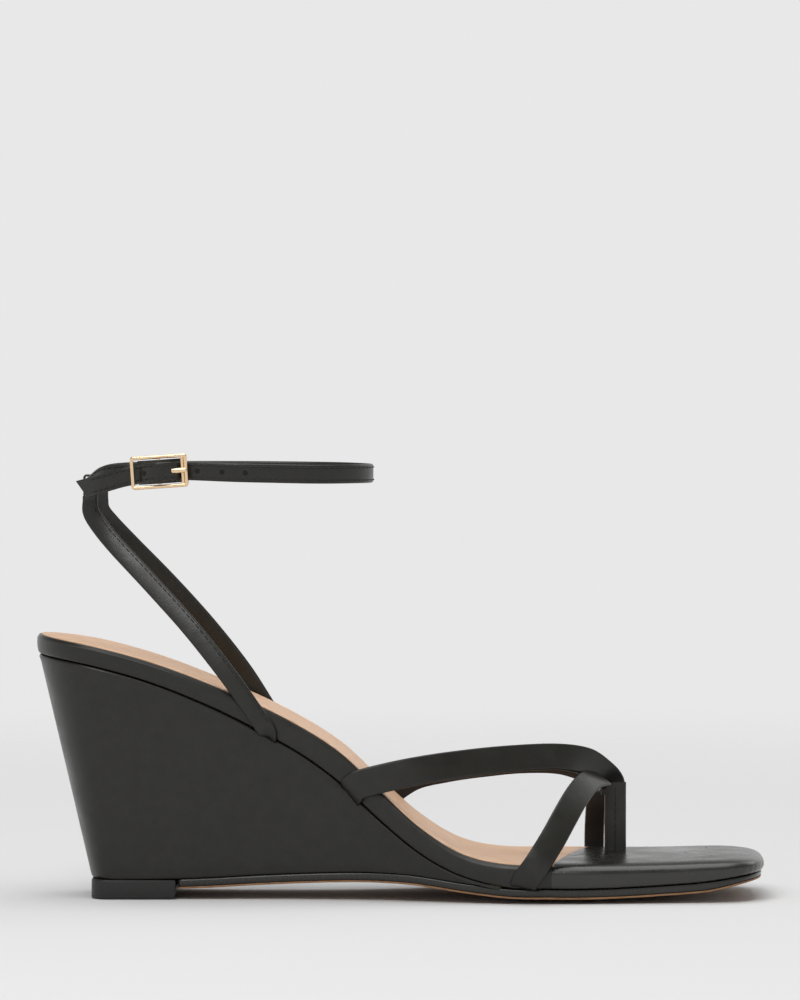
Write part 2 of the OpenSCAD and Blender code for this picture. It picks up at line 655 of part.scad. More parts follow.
// Strap round the ankle, with its fold round the buckle's centre bar and its punched holes.
hole_r = 0.8;
hole_pitch = 8;
module ankle_strap() {
    color(black) difference() {
        union() {
            strap(ankle_path, ankle_w, ankle_t);
            in_buckle() cylinder(h = buckle_h - 2*bar_t - 0.6, r = fold_r, center = true);
        }
        in_buckle() {
            cylinder(h = buckle_h, r = bar_r + eye_gap, center = true);
            cube([4.6, 4.6, 1.9], center = true);
            translate([3.9, 0, 0]) cube([5.2, 10, 1.9], center = true);
        }
        for (i = [1, 2]) translate(on_buckle([4 + i*hole_pitch, -2, 0.4])) rotate([90, 0, buckle_yaw])
            cylinder(h = 8, r = hole_r, center = true);
    }
}

module rounded_plate(size, r, t) {
    linear_extrude(t, center = true) {
        square([size[0] - 2*r, size[1]], center = true);
        square([size[0], size[1] - 2*r], center = true);
        for (x = [-1, 1], y = [-1, 1]) translate([x*(size[0]/2 - r), y*(size[1]/2 - r)]) circle(r);
    }
}

// Cast rectangular frame of the buckle, its wider end bar grooved and notched for the prong.
module buckle_frame() {
    window = [buckle_l - bar_t - end_bar, buckle_h - 2*bar_t];
    color(gold) in_buckle() rotate([90, 0, 0]) difference() {
        rounded_plate([buckle_l, buckle_h], 0.7, bar_t);
        translate([(bar_t - end_bar) / 2, 0, 0]) rounded_plate(window, 0.4, bar_t + 1);
        for (side = [-1, 1])
            translate([buckle_l/2 - end_bar/2, 0, side * bar_t/2])
                cube([0.3, buckle_h - 2, 0.4], center = true);
        translate([buckle_l/2 - end_bar/2, 0, bar_t/2]) cube([end_bar + 1, 1.8, 0.5], center = true);
    }
}

// Round centre bar that the strap folds round and the prong turns on.
module buckle_bar() {
    color(gold) in_buckle() cylinder(h = buckle_h - 2*bar_t - 2*gap, r = bar_r, center = true);
}

// Prong with a rolled eye on the centre bar.
module buckle_prong() {
    eye_r = bar_r + 0.65;
    color(gold) in_buckle() difference() {
        union() {
            cylinder(h = 1.5, r = eye_r, center = true);
            translate([0, -eye_r, -0.75]) cube([buckle_l/2 - 0.3, 0.8, 1.5]);
        }
        cylinder(h = 3, r = bar_r + eye_gap, center = true);
    }
}

top_piece();
top_piece_pins();
wedge_core();
wedge_cover();
runner();
outsole();
insole_board();
shank();
shank_rivets();
heel_screws();
bottom_filler();
footbed_foam();
edge_binding();
toe_pad();
toe_cover();
sock_lining();
instep_strap_lateral();
instep_lining_lateral();
instep_strap_medial();
instep_lining_medial();
toe_strap();
toe_strap_lining();
toe_loop();
toe_loop_lining();
toe_post();
sling_lateral();
sling_medial();
back_loop();
ankle_strap();
buckle_frame();
buckle_bar();
buckle_prong();
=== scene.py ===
"""Looks of a strappy wedge sandal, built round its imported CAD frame.

Lengths inside the shape functions are millimetres in the frame's own axes: X from heel to toe, Y to
the inner side of the foot, Z up. The mesh makers turn them into metres.
"""
import math

import bmesh
import bpy
from bpy.props import FloatProperty, PointerProperty, StringProperty
from mathutils import Matrix, Vector


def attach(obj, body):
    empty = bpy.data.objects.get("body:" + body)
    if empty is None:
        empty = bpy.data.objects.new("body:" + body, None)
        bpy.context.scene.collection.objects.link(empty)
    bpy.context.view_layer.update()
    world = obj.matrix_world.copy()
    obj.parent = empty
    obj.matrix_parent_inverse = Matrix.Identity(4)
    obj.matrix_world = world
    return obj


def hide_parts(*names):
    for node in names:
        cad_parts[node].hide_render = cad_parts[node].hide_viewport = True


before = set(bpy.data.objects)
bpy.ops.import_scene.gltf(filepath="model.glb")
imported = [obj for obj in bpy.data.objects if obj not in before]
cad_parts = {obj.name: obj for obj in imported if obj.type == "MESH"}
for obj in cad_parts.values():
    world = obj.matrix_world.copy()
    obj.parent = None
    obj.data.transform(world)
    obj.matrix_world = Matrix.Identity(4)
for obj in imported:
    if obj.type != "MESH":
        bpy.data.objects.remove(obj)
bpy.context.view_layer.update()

bl_info = {
    "name": "Wedge Sandal Looks",
    "version": (1, 0, 0),
    "blender": (4, 5, 0),
    "location": "View3D > Sidebar > Sandal",
    "description": "Leather, stitching and metalwork of a strappy wedge sandal",
    "category": "Object",
}

MM = 0.001


# ---- Settings --------------------------------------------------------------------------------

class SandalSizes(bpy.types.PropertyGroup):
    """Sizes of the sandal's finish that a maker would change, in millimetres."""
    edge_show: FloatProperty(
        name="Edge shown", default=1.3,
        description="Width of the black edge left showing round the sock lining")
    strap_thick: FloatProperty(
        name="Strap thickness", default=1.2,
        description="Thickness of a strap's outer leather")
    lining_thick: FloatProperty(
        name="Lining thickness", default=0.6,
        description="Thickness of a strap's lining leather")
    instep_wide: FloatProperty(
        name="Instep strap width", default=9.2, description="Width of the crossed instep straps")
    toe_strap_wide: FloatProperty(
        name="Toe strap width", default=8.4, description="Width of the strap over the toes")
    toe_loop_wide: FloatProperty(
        name="Toe loop width", default=6.4, description="Width of the loop round the big toe")
    post_wide: FloatProperty(
        name="Toe post width", default=7.0, description="Width of the strap between the toes")
    sling_wide: FloatProperty(
        name="Sling width", default=5.8, description="Width of the straps round the heel")
    ankle_wide: FloatProperty(
        name="Ankle strap width", default=6.0, description="Width of the ankle strap")
    ankle_thick: FloatProperty(
        name="Ankle strap thickness", default=1.5, description="Thickness of the ankle strap")
    stitch_pitch: FloatProperty(
        name="Stitch pitch", default=2.3, description="Length of one stitch and the gap after it")
    thread_thick: FloatProperty(
        name="Thread thickness", default=0.42, description="Thickness of the sewing thread")
    stitch_inset: FloatProperty(
        name="Stitch inset", default=1.0,
        description="Distance of a stitch line from the strap's edge")
    pleat_deep: FloatProperty(
        name="Pleat depth", default=0.1,
        description="Depth of the gathers where the toe cover turns under")


class SandalColours(bpy.types.PropertyGroup):
    """Colours of the finishes, as sRGB hex values."""
    calf: StringProperty(
        name="Calf leather", default="#1B1A13", description="Black calf leather")
    sock: StringProperty(
        name="Sock leather", default="#E8C2A2", description="Undyed sock lining")
    sock_dark: StringProperty(
        name="Sock leather shade", default="#D2A681",
        description="Darker fibres of the sock lining")
    lining: StringProperty(
        name="Strap lining", default="#17110D", description="Dark brown lining leather")
    outsole: StringProperty(
        name="Outsole edge", default="#997350", description="Raw edge of the leather outsole")
    rubber: StringProperty(
        name="Top piece", default="#161615", description="Black heel tip")
    runner: StringProperty(
        name="Runner", default="#232220", description="Black runner round the sole")
    gold: StringProperty(
        name="Buckle", default="#F2D3AC", description="Pale gold plating")
    thread: StringProperty(
        name="Thread", default="#0D0C0B", description="Black sewing thread")
    floor: StringProperty(
        name="Floor", default="#E8E8E8", description="Pale studio floor")


class SandalStage(bpy.types.PropertyGroup):
    """Where the camera stands and how strong the lights are."""
    camera_back: FloatProperty(
        name="Camera distance", default=2.24, unit="LENGTH",
        description="Distance of the camera from the sandal's long centre plane")
    camera_high: FloatProperty(
        name="Camera height", default=0.19, unit="LENGTH",
        description="Height of the camera above the floor")
    camera_along: FloatProperty(
        name="Camera place", default=0.086, unit="LENGTH",
        description="Place of the camera along the sandal")
    camera_tilt: FloatProperty(
        name="Camera tilt", default=math.radians(1.629), unit="ROTATION",
        description="How far the camera looks down")
    camera_lens: FloatProperty(
        name="Lens", default=252.0, description="Focal length in millimetres")
    top_light: FloatProperty(
        name="Top light", default=28.0, unit="POWER", description="Power of the softbox overhead")
    side_light: FloatProperty(
        name="Side light", default=14.0, unit="POWER",
        description="Power of the softbox at the side")
    far_light: FloatProperty(
        name="Far light", default=3.0, unit="POWER", description="Power of the softbox behind")
    room_light: FloatProperty(
        name="Room light", default=1.0, description="Brightness of the pale room round the sandal")
    ceiling: FloatProperty(
        name="Ceiling", default=0.4, description="Brightness of the room's upper part, as a share")
    floor_tone: FloatProperty(
        name="Floor tone", default=0.77, description="Share of the light that the floor sends back")


# ---- Curves and rings, in millimetres --------------------------------------------------------

def knot_slope(points, i):
    """Slope at point i of a list of (x, value) points."""
    a = points[max(i - 1, 0)]
    b = points[min(i + 1, len(points) - 1)]
    return (b[1] - a[1]) / (b[0] - a[0])


def curve(points, x):
    """Smooth cubic curve through (x, value) points, level beyond its ends."""
    if x <= points[0][0]:
        return points[0][1]
    if x >= points[-1][0]:
        return points[-1][1]
    i = 0
    while x >= points[i + 1][0]:
        i += 1
    (ax, ay), (bx, by) = points[i], points[i + 1]
    h = bx - ax
    t = (x - ax) / h
    ma = knot_slope(points, i) * h
    mb = knot_slope(points, i + 1) * h
    return (ay * (2*t**3 - 3*t**2 + 1) + ma * (t**3 - 2*t**2 + t)
            + by * (3*t**2 - 2*t**3) + mb * (t**3 - t**2))


def ramp(x, a, b):
    """0 before a, 1 after b and an even rise between."""
    return min(1.0, max(0.0, (x - a) / (b - a)))


HEEL_STEPS, SIDE_STEPS, TOE_STEPS = 16, 84, 34


def stations(o, inset):
    """Places along an outline, as (x, share of the width), drawn in from the edge by inset."""
    heel, heel_reach, heel_power, toe, toe_reach, toe_power = o[:6]
    places = []
    for i in range(HEEL_STEPS):
        a = math.radians(90 * i / HEEL_STEPS)
        places.append((heel + inset + (heel_reach - inset) * (1 - math.cos(a) ** (2 / heel_power)),
                       math.sin(a) ** (2 / heel_power)))
    for i in range(SIDE_STEPS + 1):
        u = i / SIDE_STEPS
        places.append(((heel + heel_reach) * (1 - u) + (toe - toe_reach) * u, 1.0))
    for i in range(1, TOE_STEPS + 1):
        a = math.radians(90 * i / TOE_STEPS)
        places.append((toe - toe_reach + (toe_reach - inset) * math.sin(a) ** (2 / toe_power),
                       max(0.0, math.cos(a)) ** (2 / toe_power) if i < TOE_STEPS else 0.0))
    return places


def ring(o, inset, height):
    """A closed ring of points round an outline, at the height that height(x, y) gives."""
    s = stations(o, inset)
    n = len(s) - 1
    points = []
    for x, k in s:
        y = -(curve(o[6], x) - inset) * k
        points.append((x, y, height(x, y)))
    for j in range(n - 1, 0, -1):
        x, k = s[j]
        y = (curve(o[7], x) - inset) * k
        points.append((x, y, height(x, y)))
    return points


def wall_faces(a, b, m):
    """Faces between ring a and ring b, each of m points."""
    return [(a*m + i, a*m + (i + 1) % m, b*m + (i + 1) % m, b*m + i) for i in range(m)]


def lid_faces(a, m, up):
    """Faces that close a ring by joining its lateral points to its medial ones."""
    faces = []
    for j in range(m // 2):
        corners = [a*m + j, a*m + j + 1, a*m + (m - j - 1) % m, a*m + (m - j) % m]
        kept = list(dict.fromkeys(corners))
        faces.append(tuple(kept if up else reversed(kept)))
    return faces


# ---- Footbed and sole lines, in millimetres --------------------------------------------------

HEEL_X, TOE_X = -30.0, 202.0
TOE_ROUND, TOE_SQUARE = 17.0, 3.4
TOP_PIECE_H = 6.2
RUNNER_T, OUTSOLE_T = 2.4, 0.6
SOLE_CAMBER = 1.4
GLUE = 0.08
SEAM_OPEN = 0.25
COVER_X, COVER_SLANT = 141.6, 11.0
POST_AT = (155.2, 7.0)
BUCKLE_L, BUCKLE_H, BUCKLE_TILT, BUCKLE_YAW = 18.6, 10.6, 4.0, -11.0
LOOP_AT = Vector((-13.6, 0, 130.6))
BUCKLE_AT = Vector((9.8, -26.2, 136))
UP = (0, 0, 1)
STEPS = 8
NARROW_FROM, NARROW_TO, NARROW_SHARE = 24, 8, 1.13
HOLES_AT, HOLE_R = (-3.2, 12, 20, 28), 0.8
TAIL_CUT, TAIL_FACING = (-15.4, 0, 130.05), (4.3, 0, 3.2)
WEDGE_END = 121.0
MARGIN_W, MARGIN_T, BINDING_T = 9.0, 0.6, 1.4

BED_LATERAL = [(-5, 26.5), (20, 27), (45, 27), (70, 29), (95, 35), (120, 39.5), (140, 40),
    (165, 37.5), (190, 35), (202, 33)]
BED_MEDIAL = [(-5, 26), (20, 24.5), (45, 21.5), (70, 22.5), (95, 28), (120, 34.5), (140, 36.5),
    (165, 35), (190, 32.5), (202, 31)]
FOOT_LATERAL = [(-6, 21.5), (15, 21.8), (40, 22), (70, 25.5), (95, 33), (121, 38.8), (140, 39.4),
    (165, 37), (190, 34.5), (202, 32.5)]
FOOT_MEDIAL = [(-6, 21.5), (15, 21), (40, 19), (70, 20), (95, 26.5), (121, 33.8), (140, 36),
    (165, 34.5), (190, 32), (202, 30.5)]
BED_LINE = [(-30, 83.9), (-10, 80.3), (10, 74.7), (30, 67), (50, 57.8), (67, 47.3), (80, 35),
    (92, 24.1), (105, 16), (118, 12.8), (135, 12.3), (160, 12.1), (180, 12.3), (202, 12.7)]
SEAM_LINE = [(-30, 77.7), (-12, 74.5), (7, 69.2), (26, 61.6), (41, 54.2), (55, 46.4), (67, 37.6),
    (79, 26.5), (91, 16.6), (102, 9.9), (112, 6.1), (121, 4)]
RUNNER_LINE = [(-13, TOP_PIECE_H), (1, TOP_PIECE_H), (23, 6.7), (45, 7.9), (67, 8.8), (80, 8.9),
    (92, 8.2), (108, 5.6), (122, 3.6), (136, 3), (150, 3.2), (168, 4.2), (185, 5.7), (202, 9)]
BED = [HEEL_X, 26.0, 2.1, TOE_X, TOE_ROUND, TOE_SQUARE, BED_LATERAL, BED_MEDIAL]
TOE_BED = [120.0, 4.0, 4.0, TOE_X, TOE_ROUND, TOE_SQUARE, BED_LATERAL, BED_MEDIAL]
SOLE = [15.0, 3.0, 6.0, TOE_X - 0.6, TOE_ROUND, TOE_SQUARE, FOOT_LATERAL, FOOT_MEDIAL]
WEDGE_TOP = [HEEL_X, 26.0, 2.1, WEDGE_END, 6.0, 4.0, BED_LATERAL, BED_MEDIAL]
WEDGE_FOOT = [-12.6, 9.0, 3.0, WEDGE_END, 6.0, 4.0, FOOT_LATERAL, FOOT_MEDIAL]


def camber(x, y):
    """How far the sole curls up at y."""
    return SOLE_CAMBER * ramp(x, 95, 132) * (abs(y) / 38) ** 3


def runner_z(x, y):
    """Height of the runner's top."""
    return curve(RUNNER_LINE, x) + camber(x, y)


def runner_base(x, y):
    """Height of the runner's underside, thinned towards the tip of the toe."""
    return runner_z(x, y) - RUNNER_T * (1 - 0.5 * ramp(x, 184, 202))


def upright(x):
    """Vertical depth of one millimetre measured square to the bed."""
    return math.hypot(1, (curve(BED_LINE, x + 1) - curve(BED_LINE, x - 1)) / 2)


def layer_z(x, depth):
    """Height of a layer at a depth below the footbed's top edge."""
    return curve(BED_LINE, x) - depth * upright(x) * (1 - 0.42 * ramp(x, 150, 202))


def seam_z(x, y):
    """Height of the seam under the footbed."""
    if x < WEDGE_END:
        return max(curve(SEAM_LINE, x), curve(RUNNER_LINE, x) + SEAM_OPEN) + camber(x, y)
    return runner_z(x, y) + SEAM_OPEN


def toe_top(x, y):
    """Height of the toe cover, crowned towards the middle."""
    return (curve([(120, 12.6), (165, 12.6), (190, 13.1), (202, 12.8)], x)
            + 0.9 * (1 - min(1.0, abs(y) / 36) ** 2))


# ---- Strap routes, as rows of point and width direction ----------------------------------------

def on_buckle(along, out, up):
    """A place in the buckle's own frame: along the strap, outwards from the ankle, and up."""
    turn = (Matrix.Rotation(math.radians(BUCKLE_YAW), 3, "Z")
            @ Matrix.Rotation(math.radians(-BUCKLE_TILT), 3, "Y"))
    return BUCKLE_AT + turn @ Vector((along, -out, up))


ROUTES = {
    "instep_lateral": [
        ((70.6, -25.5, 33.6), (-0.62, 0, 0.78)),
        ((70.4, -29.6, 34.4), (-0.6, 0.05, 0.8)),
        ((72.6, -31.6, 37), (-0.45, 0.12, 0.89)),
        ((82, -32.2, 39.6), (-0.28, 0.16, 0.95)),
        ((94, -30.4, 41.9), (-0.2, 0.24, 0.95)),
        ((108, -25.4, 43.6), (-0.12, 0.36, 0.92)),
        ((122, -18.2, 44.6), (-0.05, 0.5, 0.86)),
        ((136, -9.2, 44.6), (0.12, 0.6, 0.79)),
        ((145.6, -2, 42.6), (0.48, 0.52, 0.7)),
        ((151, 2.9, 38.9), (0.74, 0.36, 0.57)),
        ((154.2, 6.4, 35.4), (0.95, 0.1, 0.3)),
        ((154.6, 7, 31.5), (1, 0, 0.1))],
    "instep_medial": [
        ((79.5, 20, 26), (0.68, 0, -0.73)),
        ((79.6, 24.4, 26.8), (0.66, 0.05, -0.75)),
        ((81, 26.8, 29.4), (0.55, 0.12, -0.83)),
        ((90, 28.2, 35.6), (0.36, 0.14, -0.92)),
        ((101, 27.2, 38.4), (0.28, 0.2, -0.94)),
        ((113, 24.4, 40.3), (0.18, 0.3, -0.94)),
        ((125, 20.2, 41.4), (0.1, 0.45, -0.89)),
        ((137, 15, 41.2), (-0.1, 0.55, -0.83)),
        ((146, 10.6, 38.8), (-0.4, 0.5, -0.77)),
        ((151.6, 8.2, 35.6), (-0.72, 0.3, -0.62))],
    "toe_strap": [
        ((124.6, -35, 5.2), (0.97, 0, -0.05)),
        ((124.8, -39.4, 5.6), (0.95, 0, -0.2)),
        ((125.8, -41.4, 8), (0.87, -0.1, -0.4)),
        ((129.4, -42, 13.2), (0.85, -0.1, -0.5)),
        ((134, -38, 20.2), (0.84, 0, -0.54)),
        ((138.2, -30.4, 27), (0.84, 0.08, -0.54)),
        ((142.2, -20.6, 32.8), (0.84, 0.1, -0.53)),
        ((146.4, -9.6, 36.8), (0.84, 0.1, -0.53)),
        ((150.6, 0, 37.2), (0.86, 0.1, -0.5))],
    "toe_loop": [
        ((149.4, 31.4, 5.1), (-0.99, 0, 0)),
        ((149.4, 35.8, 5.5), (-0.99, 0, 0)),
        ((149.4, 37.8, 8.2), (-0.99, 0, 0)),
        ((149.3, 38.4, 13), (-0.99, 0, 0.05)),
        ((149.4, 36.4, 20.4), (-0.98, 0, 0.1)),
        ((149.8, 30.8, 27.6), (-0.97, 0, 0.2)),
        ((150.8, 22.8, 32.6), (-0.96, 0, 0.28)),
        ((152.4, 15, 34.4), (-0.95, 0, 0.3)),
        ((153.6, 9.6, 34), (-0.95, 0, 0.3))],
    "sling_lateral": [
        ((44.6, -22.6, 51.6), (0.86, 0, -0.5)),
        ((44.4, -26.8, 52), (0.85, 0, -0.52)),
        ((43, -28.8, 55.2), (0.82, 0.05, 0.2)),
        ((38.6, -28.6, 61.8), (0.8, 0.05, 0.58)),
        ((30.6, -26.8, 72.8), (0.8, 0.1, 0.6)),
        ((19.4, -22.6, 86.6), (0.74, 0.12, 0.66)),
        ((7, -16.6, 100), (0.7, 0.1, 0.7)),
        ((-4.2, -10.4, 111.6), (0.68, 0.1, 0.73)),
        ((-10, -6.8, 118.4), (0.76, -0.1, 0.62)),
        ((-12.8, -4.6, 122.8), (0.82, -0.35, 0.42)),
        ((-13, -3.6, 126.4), (0.8, -0.55, 0.1))],
    "sling_medial": [
        ((46.2, 17, 50.6), (-0.86, 0, 0.5)),
        ((46, 21.2, 51), (-0.85, 0, 0.52)),
        ((45, 23.2, 54.6), (-0.82, 0.05, -0.2)),
        ((41.4, 23.4, 61), (-0.8, 0.05, -0.58)),
        ((34.4, 22.6, 71.8), (-0.8, 0.1, -0.6)),
        ((23.6, 20, 85.6), (-0.74, 0.1, -0.66)),
        ((11.4, 15.8, 99.4), (-0.7, 0.1, -0.7)),
        ((-0.4, 10.4, 111.8), (-0.68, 0.1, -0.73)),
        ((-7, 6.4, 119), (-0.76, -0.1, -0.62)),
        ((-9.7, 4.2, 122.8), (-0.85, -0.35, -0.4)),
        ((-10, 3.1, 126.4), (-0.8, -0.58, -0.1)),
        ((-9.9, 2.9, 129.6), (-0.75, -0.66, 0))],
}
ANKLE_ROUTE = [
    (on_buckle(-0.8, -1.05, 0), UP),
    (on_buckle(-4.6, -2.5, 0), UP),
    (on_buckle(-8.7, -4.1, 0.1), UP),
    (on_buckle(-13, -5, 0.2), UP),
    ((-8.4, -14, 134.4), UP),
    ((-12.7, -6.4, 131.3), UP),
    ((-13.6, 0, 130.6), UP),
    ((-12.7, 6.4, 131.3), UP),
    ((-8.4, 14.4, 134.2), UP),
    ((0, 21, 135), UP),
    ((14, 25.8, 135.2), UP),
    ((32, 27.8, 135.2), UP),
    ((50, 26.4, 135.1), UP),
    ((66, 20, 135), UP),
    ((75, 9, 134.9), UP),
    ((76.6, -3, 134.9), UP),
    ((72, -14, 135), UP),
    ((60, -23, 135.1), UP),
    ((44, -27.6, 135.5), UP),
    ((33, -28.6, 135.8), UP),
    (on_buckle(13.4, -2.3, -0.8), UP),
    (on_buckle(8, -2.4, -0.3), UP),
    (on_buckle(3.9, 0.9, -0.1), UP),
    (on_buckle(0, 2.5, 0), UP),
    (on_buckle(-3.9, 0.9, -0.2), UP),
    (on_buckle(-8, -2.3, -0.6), UP),
    (on_buckle(-13, -2.9, -1.2), UP),
    (on_buckle(-20, -4.9, -2.6), UP),
    (on_buckle(-27.5, -9.5, -3.9), UP)]


# ---- Mesh makers -----------------------------------------------------------------------------

def piece(name, points, faces, sharp=40):
    """A smooth object from points in millimetres; edges sharper than sharp degrees stay hard."""
    mesh = bpy.data.meshes.new(name)
    mesh.from_pydata([Vector(p) * MM for p in points], [], faces)
    mesh.validate()
    mesh.shade_smooth()
    mesh.set_sharp_from_angle(angle=math.radians(sharp))
    obj = bpy.data.objects.new(name, mesh)
    bpy.context.scene.collection.objects.link(obj)
    return obj


def loft(name, rings, closed=False, sharp=40):
    """A solid through rings of points: closed round on itself, or with lids at both ends."""
    m = len(rings[0])
    n = len(rings)
    faces = []
    for k in range(n if closed else n - 1):
        faces += wall_faces(k, (k + 1) % n, m)
    if not closed:
        faces += lid_faces(0, m, False) + lid_faces(n - 1, m, True)
    return piece(name, [p for r in rings for p in r], faces, sharp)


def cut_by_cover_line(obj, keep_toe, shift=0.0):
    """Cuts a piece along the slanting line where the sock lining meets the toe cover."""
    slant = math.radians(-COVER_SLANT)
    side = 1 if keep_toe else -1
    cut_off(obj, (COVER_X + shift, 0, 0), (side * math.cos(slant), side * math.sin(slant), 0))


def tidy_normals(obj):
    """Turns every face of a solid outwards."""
    mesh = bmesh.new()
    mesh.from_mesh(obj.data)
    bmesh.ops.recalc_face_normals(mesh, faces=mesh.faces[:])
    mesh.to_mesh(obj.data)
    mesh.free()
    return obj


def cut_off(obj, at, toward):
    """Cuts a solid with a plane and drops what lies behind it; at is in millimetres."""
    mesh = bmesh.new()
    mesh.from_mesh(obj.data)
    bmesh.ops.bisect_plane(
        mesh, geom=mesh.verts[:] + mesh.edges[:] + mesh.faces[:], dist=1e-7,
        plane_co=Vector(at) * MM, plane_no=Vector(toward).normalized(), clear_inner=True)
    bmesh.ops.holes_fill(mesh, edges=[e for e in mesh.edges if e.is_boundary])
    bmesh.ops.recalc_face_normals(mesh, faces=mesh.faces[:])
    mesh.to_mesh(obj.data)
    mesh.free()
    obj.data.shade_smooth()
    obj.data.set_sharp_from_angle(angle=math.radians(40))


def softened_copy(node, name, radius, steps=3):
    """A copy of a CAD node with its hard edges rounded to a radius in millimetres."""
    mesh = bmesh.new()
    mesh.from_mesh(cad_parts[node].data)
    bmesh.ops.remove_doubles(mesh, verts=mesh.verts[:], dist=1e-6)
    bmesh.ops.dissolve_limit(mesh, angle_limit=math.radians(1),
                             verts=mesh.verts[:], edges=mesh.edges[:])
    hard = [e for e in mesh.edges if e.is_manifold and e.calc_face_angle() > math.radians(35)]
    bmesh.ops.bevel(mesh, geom=hard, offset=radius * MM, segments=steps, profile=0.5,
                    affect="EDGES", clamp_overlap=True)
    made = bpy.data.meshes.new(name)
    mesh.to_mesh(made)
    mesh.free()
    made.materials.clear()
    made.shade_smooth()
    made.set_sharp_from_angle(angle=math.radians(50))
    obj = bpy.data.objects.new(name, made)
    bpy.context.scene.collection.objects.link(obj)
    return obj


# ---- Straps and stitches ---------------------------------------------------------------------

def between(a, b, c, d, t):
    """Catmull-Rom value between vectors b and c."""
    return 0.5 * (2*b + (c - a)*t + (2*a - 5*b + 4*c - d)*t*t + (3*b - a - 3*c + d)*t*t*t)


def smooth_path(rows, steps):
    """A smooth path through rows of (point, width direction), as places with their own axes."""
    rows = [(Vector(p), Vector(w)) for p, w in rows]
    n = len(rows) - 1
    spots = []
    for i in range(n):
        four = [rows[max(i - 1, 0)], rows[i], rows[i + 1], rows[min(i + 2, n)]]
        for k in range(steps):
            spots.append([between(*[r[j] for r in four], k / steps) for j in (0, 1)])
    spots.append(list(rows[n]))
    path = []
    for i, (at, wide) in enumerate(spots):
        along = (spots[min(i + 1, len(spots) - 1)][0] - spots[max(i - 1, 0)][0]).normalized()
        face = along.cross(wide).normalized()
        path.append((at, along, face.cross(along).normalized(), face))
    return path


def strap_section(width, thick, crown=0.12, groove=0.0, grooves=(), points=28):
    """Outline of a strap's section, as (across, outwards): rounded edges, pressed grooves."""
    half = width / 2
    edge = thick / 2
    out = []
    for i in range(points):
        a = half - edge * 0.8 - (width - 1.6 * edge) * i / (points - 1)
        lift = crown * (1 - (a / half) ** 2)
        for g in grooves:
            lift -= groove * math.exp(-((a - g) / 0.3) ** 2)
        out.append((a, edge - crown * 0.5 + lift))
    turn = [(-half + edge * 0.8 * (1 - math.sin(math.radians(v))), (edge - crown * 0.5)
             * math.cos(math.radians(v))) for v in (20, 40, 60, 80, 100, 120, 140, 160)]
    out += turn
    out += [(-half + edge * 0.8, -edge + crown * 0.5), (half - edge * 0.8, -edge + crown * 0.5)]
    out += [(-a, o) for a, o in reversed(turn)]
    return out


def sweep(name, path, section, off=0.0, narrow=1.0):
    """A strap: a section carried along a path, its last part narrowing to a share of its width."""
    m = len(section)
    points = []
    for i, (at, _, side, face) in enumerate(path):
        share = 1 - (1 - narrow) * ramp(i, len(path) - NARROW_FROM, len(path) - NARROW_TO)
        points += [at + side * a * share + face * (o + off) for a, o in section]
    faces = []
    for k in range(len(path) - 1):
        faces += wall_faces(k, k + 1, m)
    last = (len(path) - 1) * m
    faces += [tuple(range(m)), tuple(last + i for i in reversed(range(m)))]
    return tidy_normals(piece(name, points, faces, 55))


def walk(path, pitch, start=0.0, stop=0.0):
    """Evenly spaced places on a path, from start to stop millimetres short of its end."""
    lengths = [0.0]
    for a, b in zip(path, path[1:]):
        lengths.append(lengths[-1] + (b[0] - a[0]).length)
    total = lengths[-1] - stop
    at = start + pitch / 2
    k = 0
    spots = []
    while at < total:
        while lengths[k + 1] < at:
            k += 1
        t = (at - lengths[k]) / (lengths[k + 1] - lengths[k])
        spots.append([path[k][j].lerp(path[k + 1][j], t) for j in range(4)])
        at += pitch
    return spots


def stitches(name, path, lines, out, sizes, start=0.0, stop=0.0):
    """Rows of thread stitches on a strap, at lines across its width, out from its middle."""
    sides, slices = 8, 6
    length = sizes.stitch_pitch * 0.78
    thick = sizes.thread_thick / 2
    points, faces = [], []
    for across in lines:
        for at, along, side, face in walk(path, sizes.stitch_pitch, start, stop):
            first = len(points)
            for s in range(slices + 1):
                share = 2 * s / slices - 1
                r = thick * math.sqrt(max(0.04, 1 - share ** 4))
                sink = out - thick * 0.1 - thick * 1.1 * share ** 4
                for q in range(sides):
                    v = 2 * math.pi * q / sides
                    points.append(at + along * (share * length / 2)
                                  + side * (across + r * math.cos(v))
                                  + face * (sink + r * math.sin(v)))
            for s in range(slices):
                for q in range(sides):
                    a = first + s * sides + q
                    b = first + s * sides + (q + 1) % sides
                    faces.append((a, b, b + sides, a + sides))
            faces.append(tuple(first + q for q in reversed(range(sides))))
            faces.append(tuple(first + slices * sides + q for q in range(sides)))
    return piece(name, points, faces, 80)


# ---- Materials -------------------------------------------------------------------------------

def linear(code):
    """Linear RGBA of an sRGB hex colour."""
    parts = [int(code[i:i + 2], 16) / 255 for i in (1, 3, 5)]
    return (*[v / 12.92 if v <= 0.04045 else ((v + 0.055) / 1.055) ** 2.4 for v in parts], 1.0)


def node(tree, kind, inputs=None, out=0, **settings):
    """Adds a shader node with its settings, values and links, and returns one of its outputs."""
    made = tree.nodes.new(kind)
    for key, value in settings.items():
        setattr(made, key, value)
    for key, value in (inputs or {}).items():
        if isinstance(value, bpy.types.NodeSocket):
            tree.links.new(value, made.inputs[key])
        else:
            made.inputs[key].default_value = value
    return made.outputs[out] if made.outputs else made


def material(name, code):
    """An empty material and its place in millimetres."""
    made = bpy.data.materials.new(name)
    made.use_nodes = True
    made.diffuse_color = linear(code)
    tree = made.node_tree
    tree.nodes.clear()
    place = node(tree, "ShaderNodeTexCoord", out="Object")
    return made, tree, node(tree, "ShaderNodeVectorMath", {0: place, 1: (1000, 1000, 1000)},
                            operation="MULTIPLY")


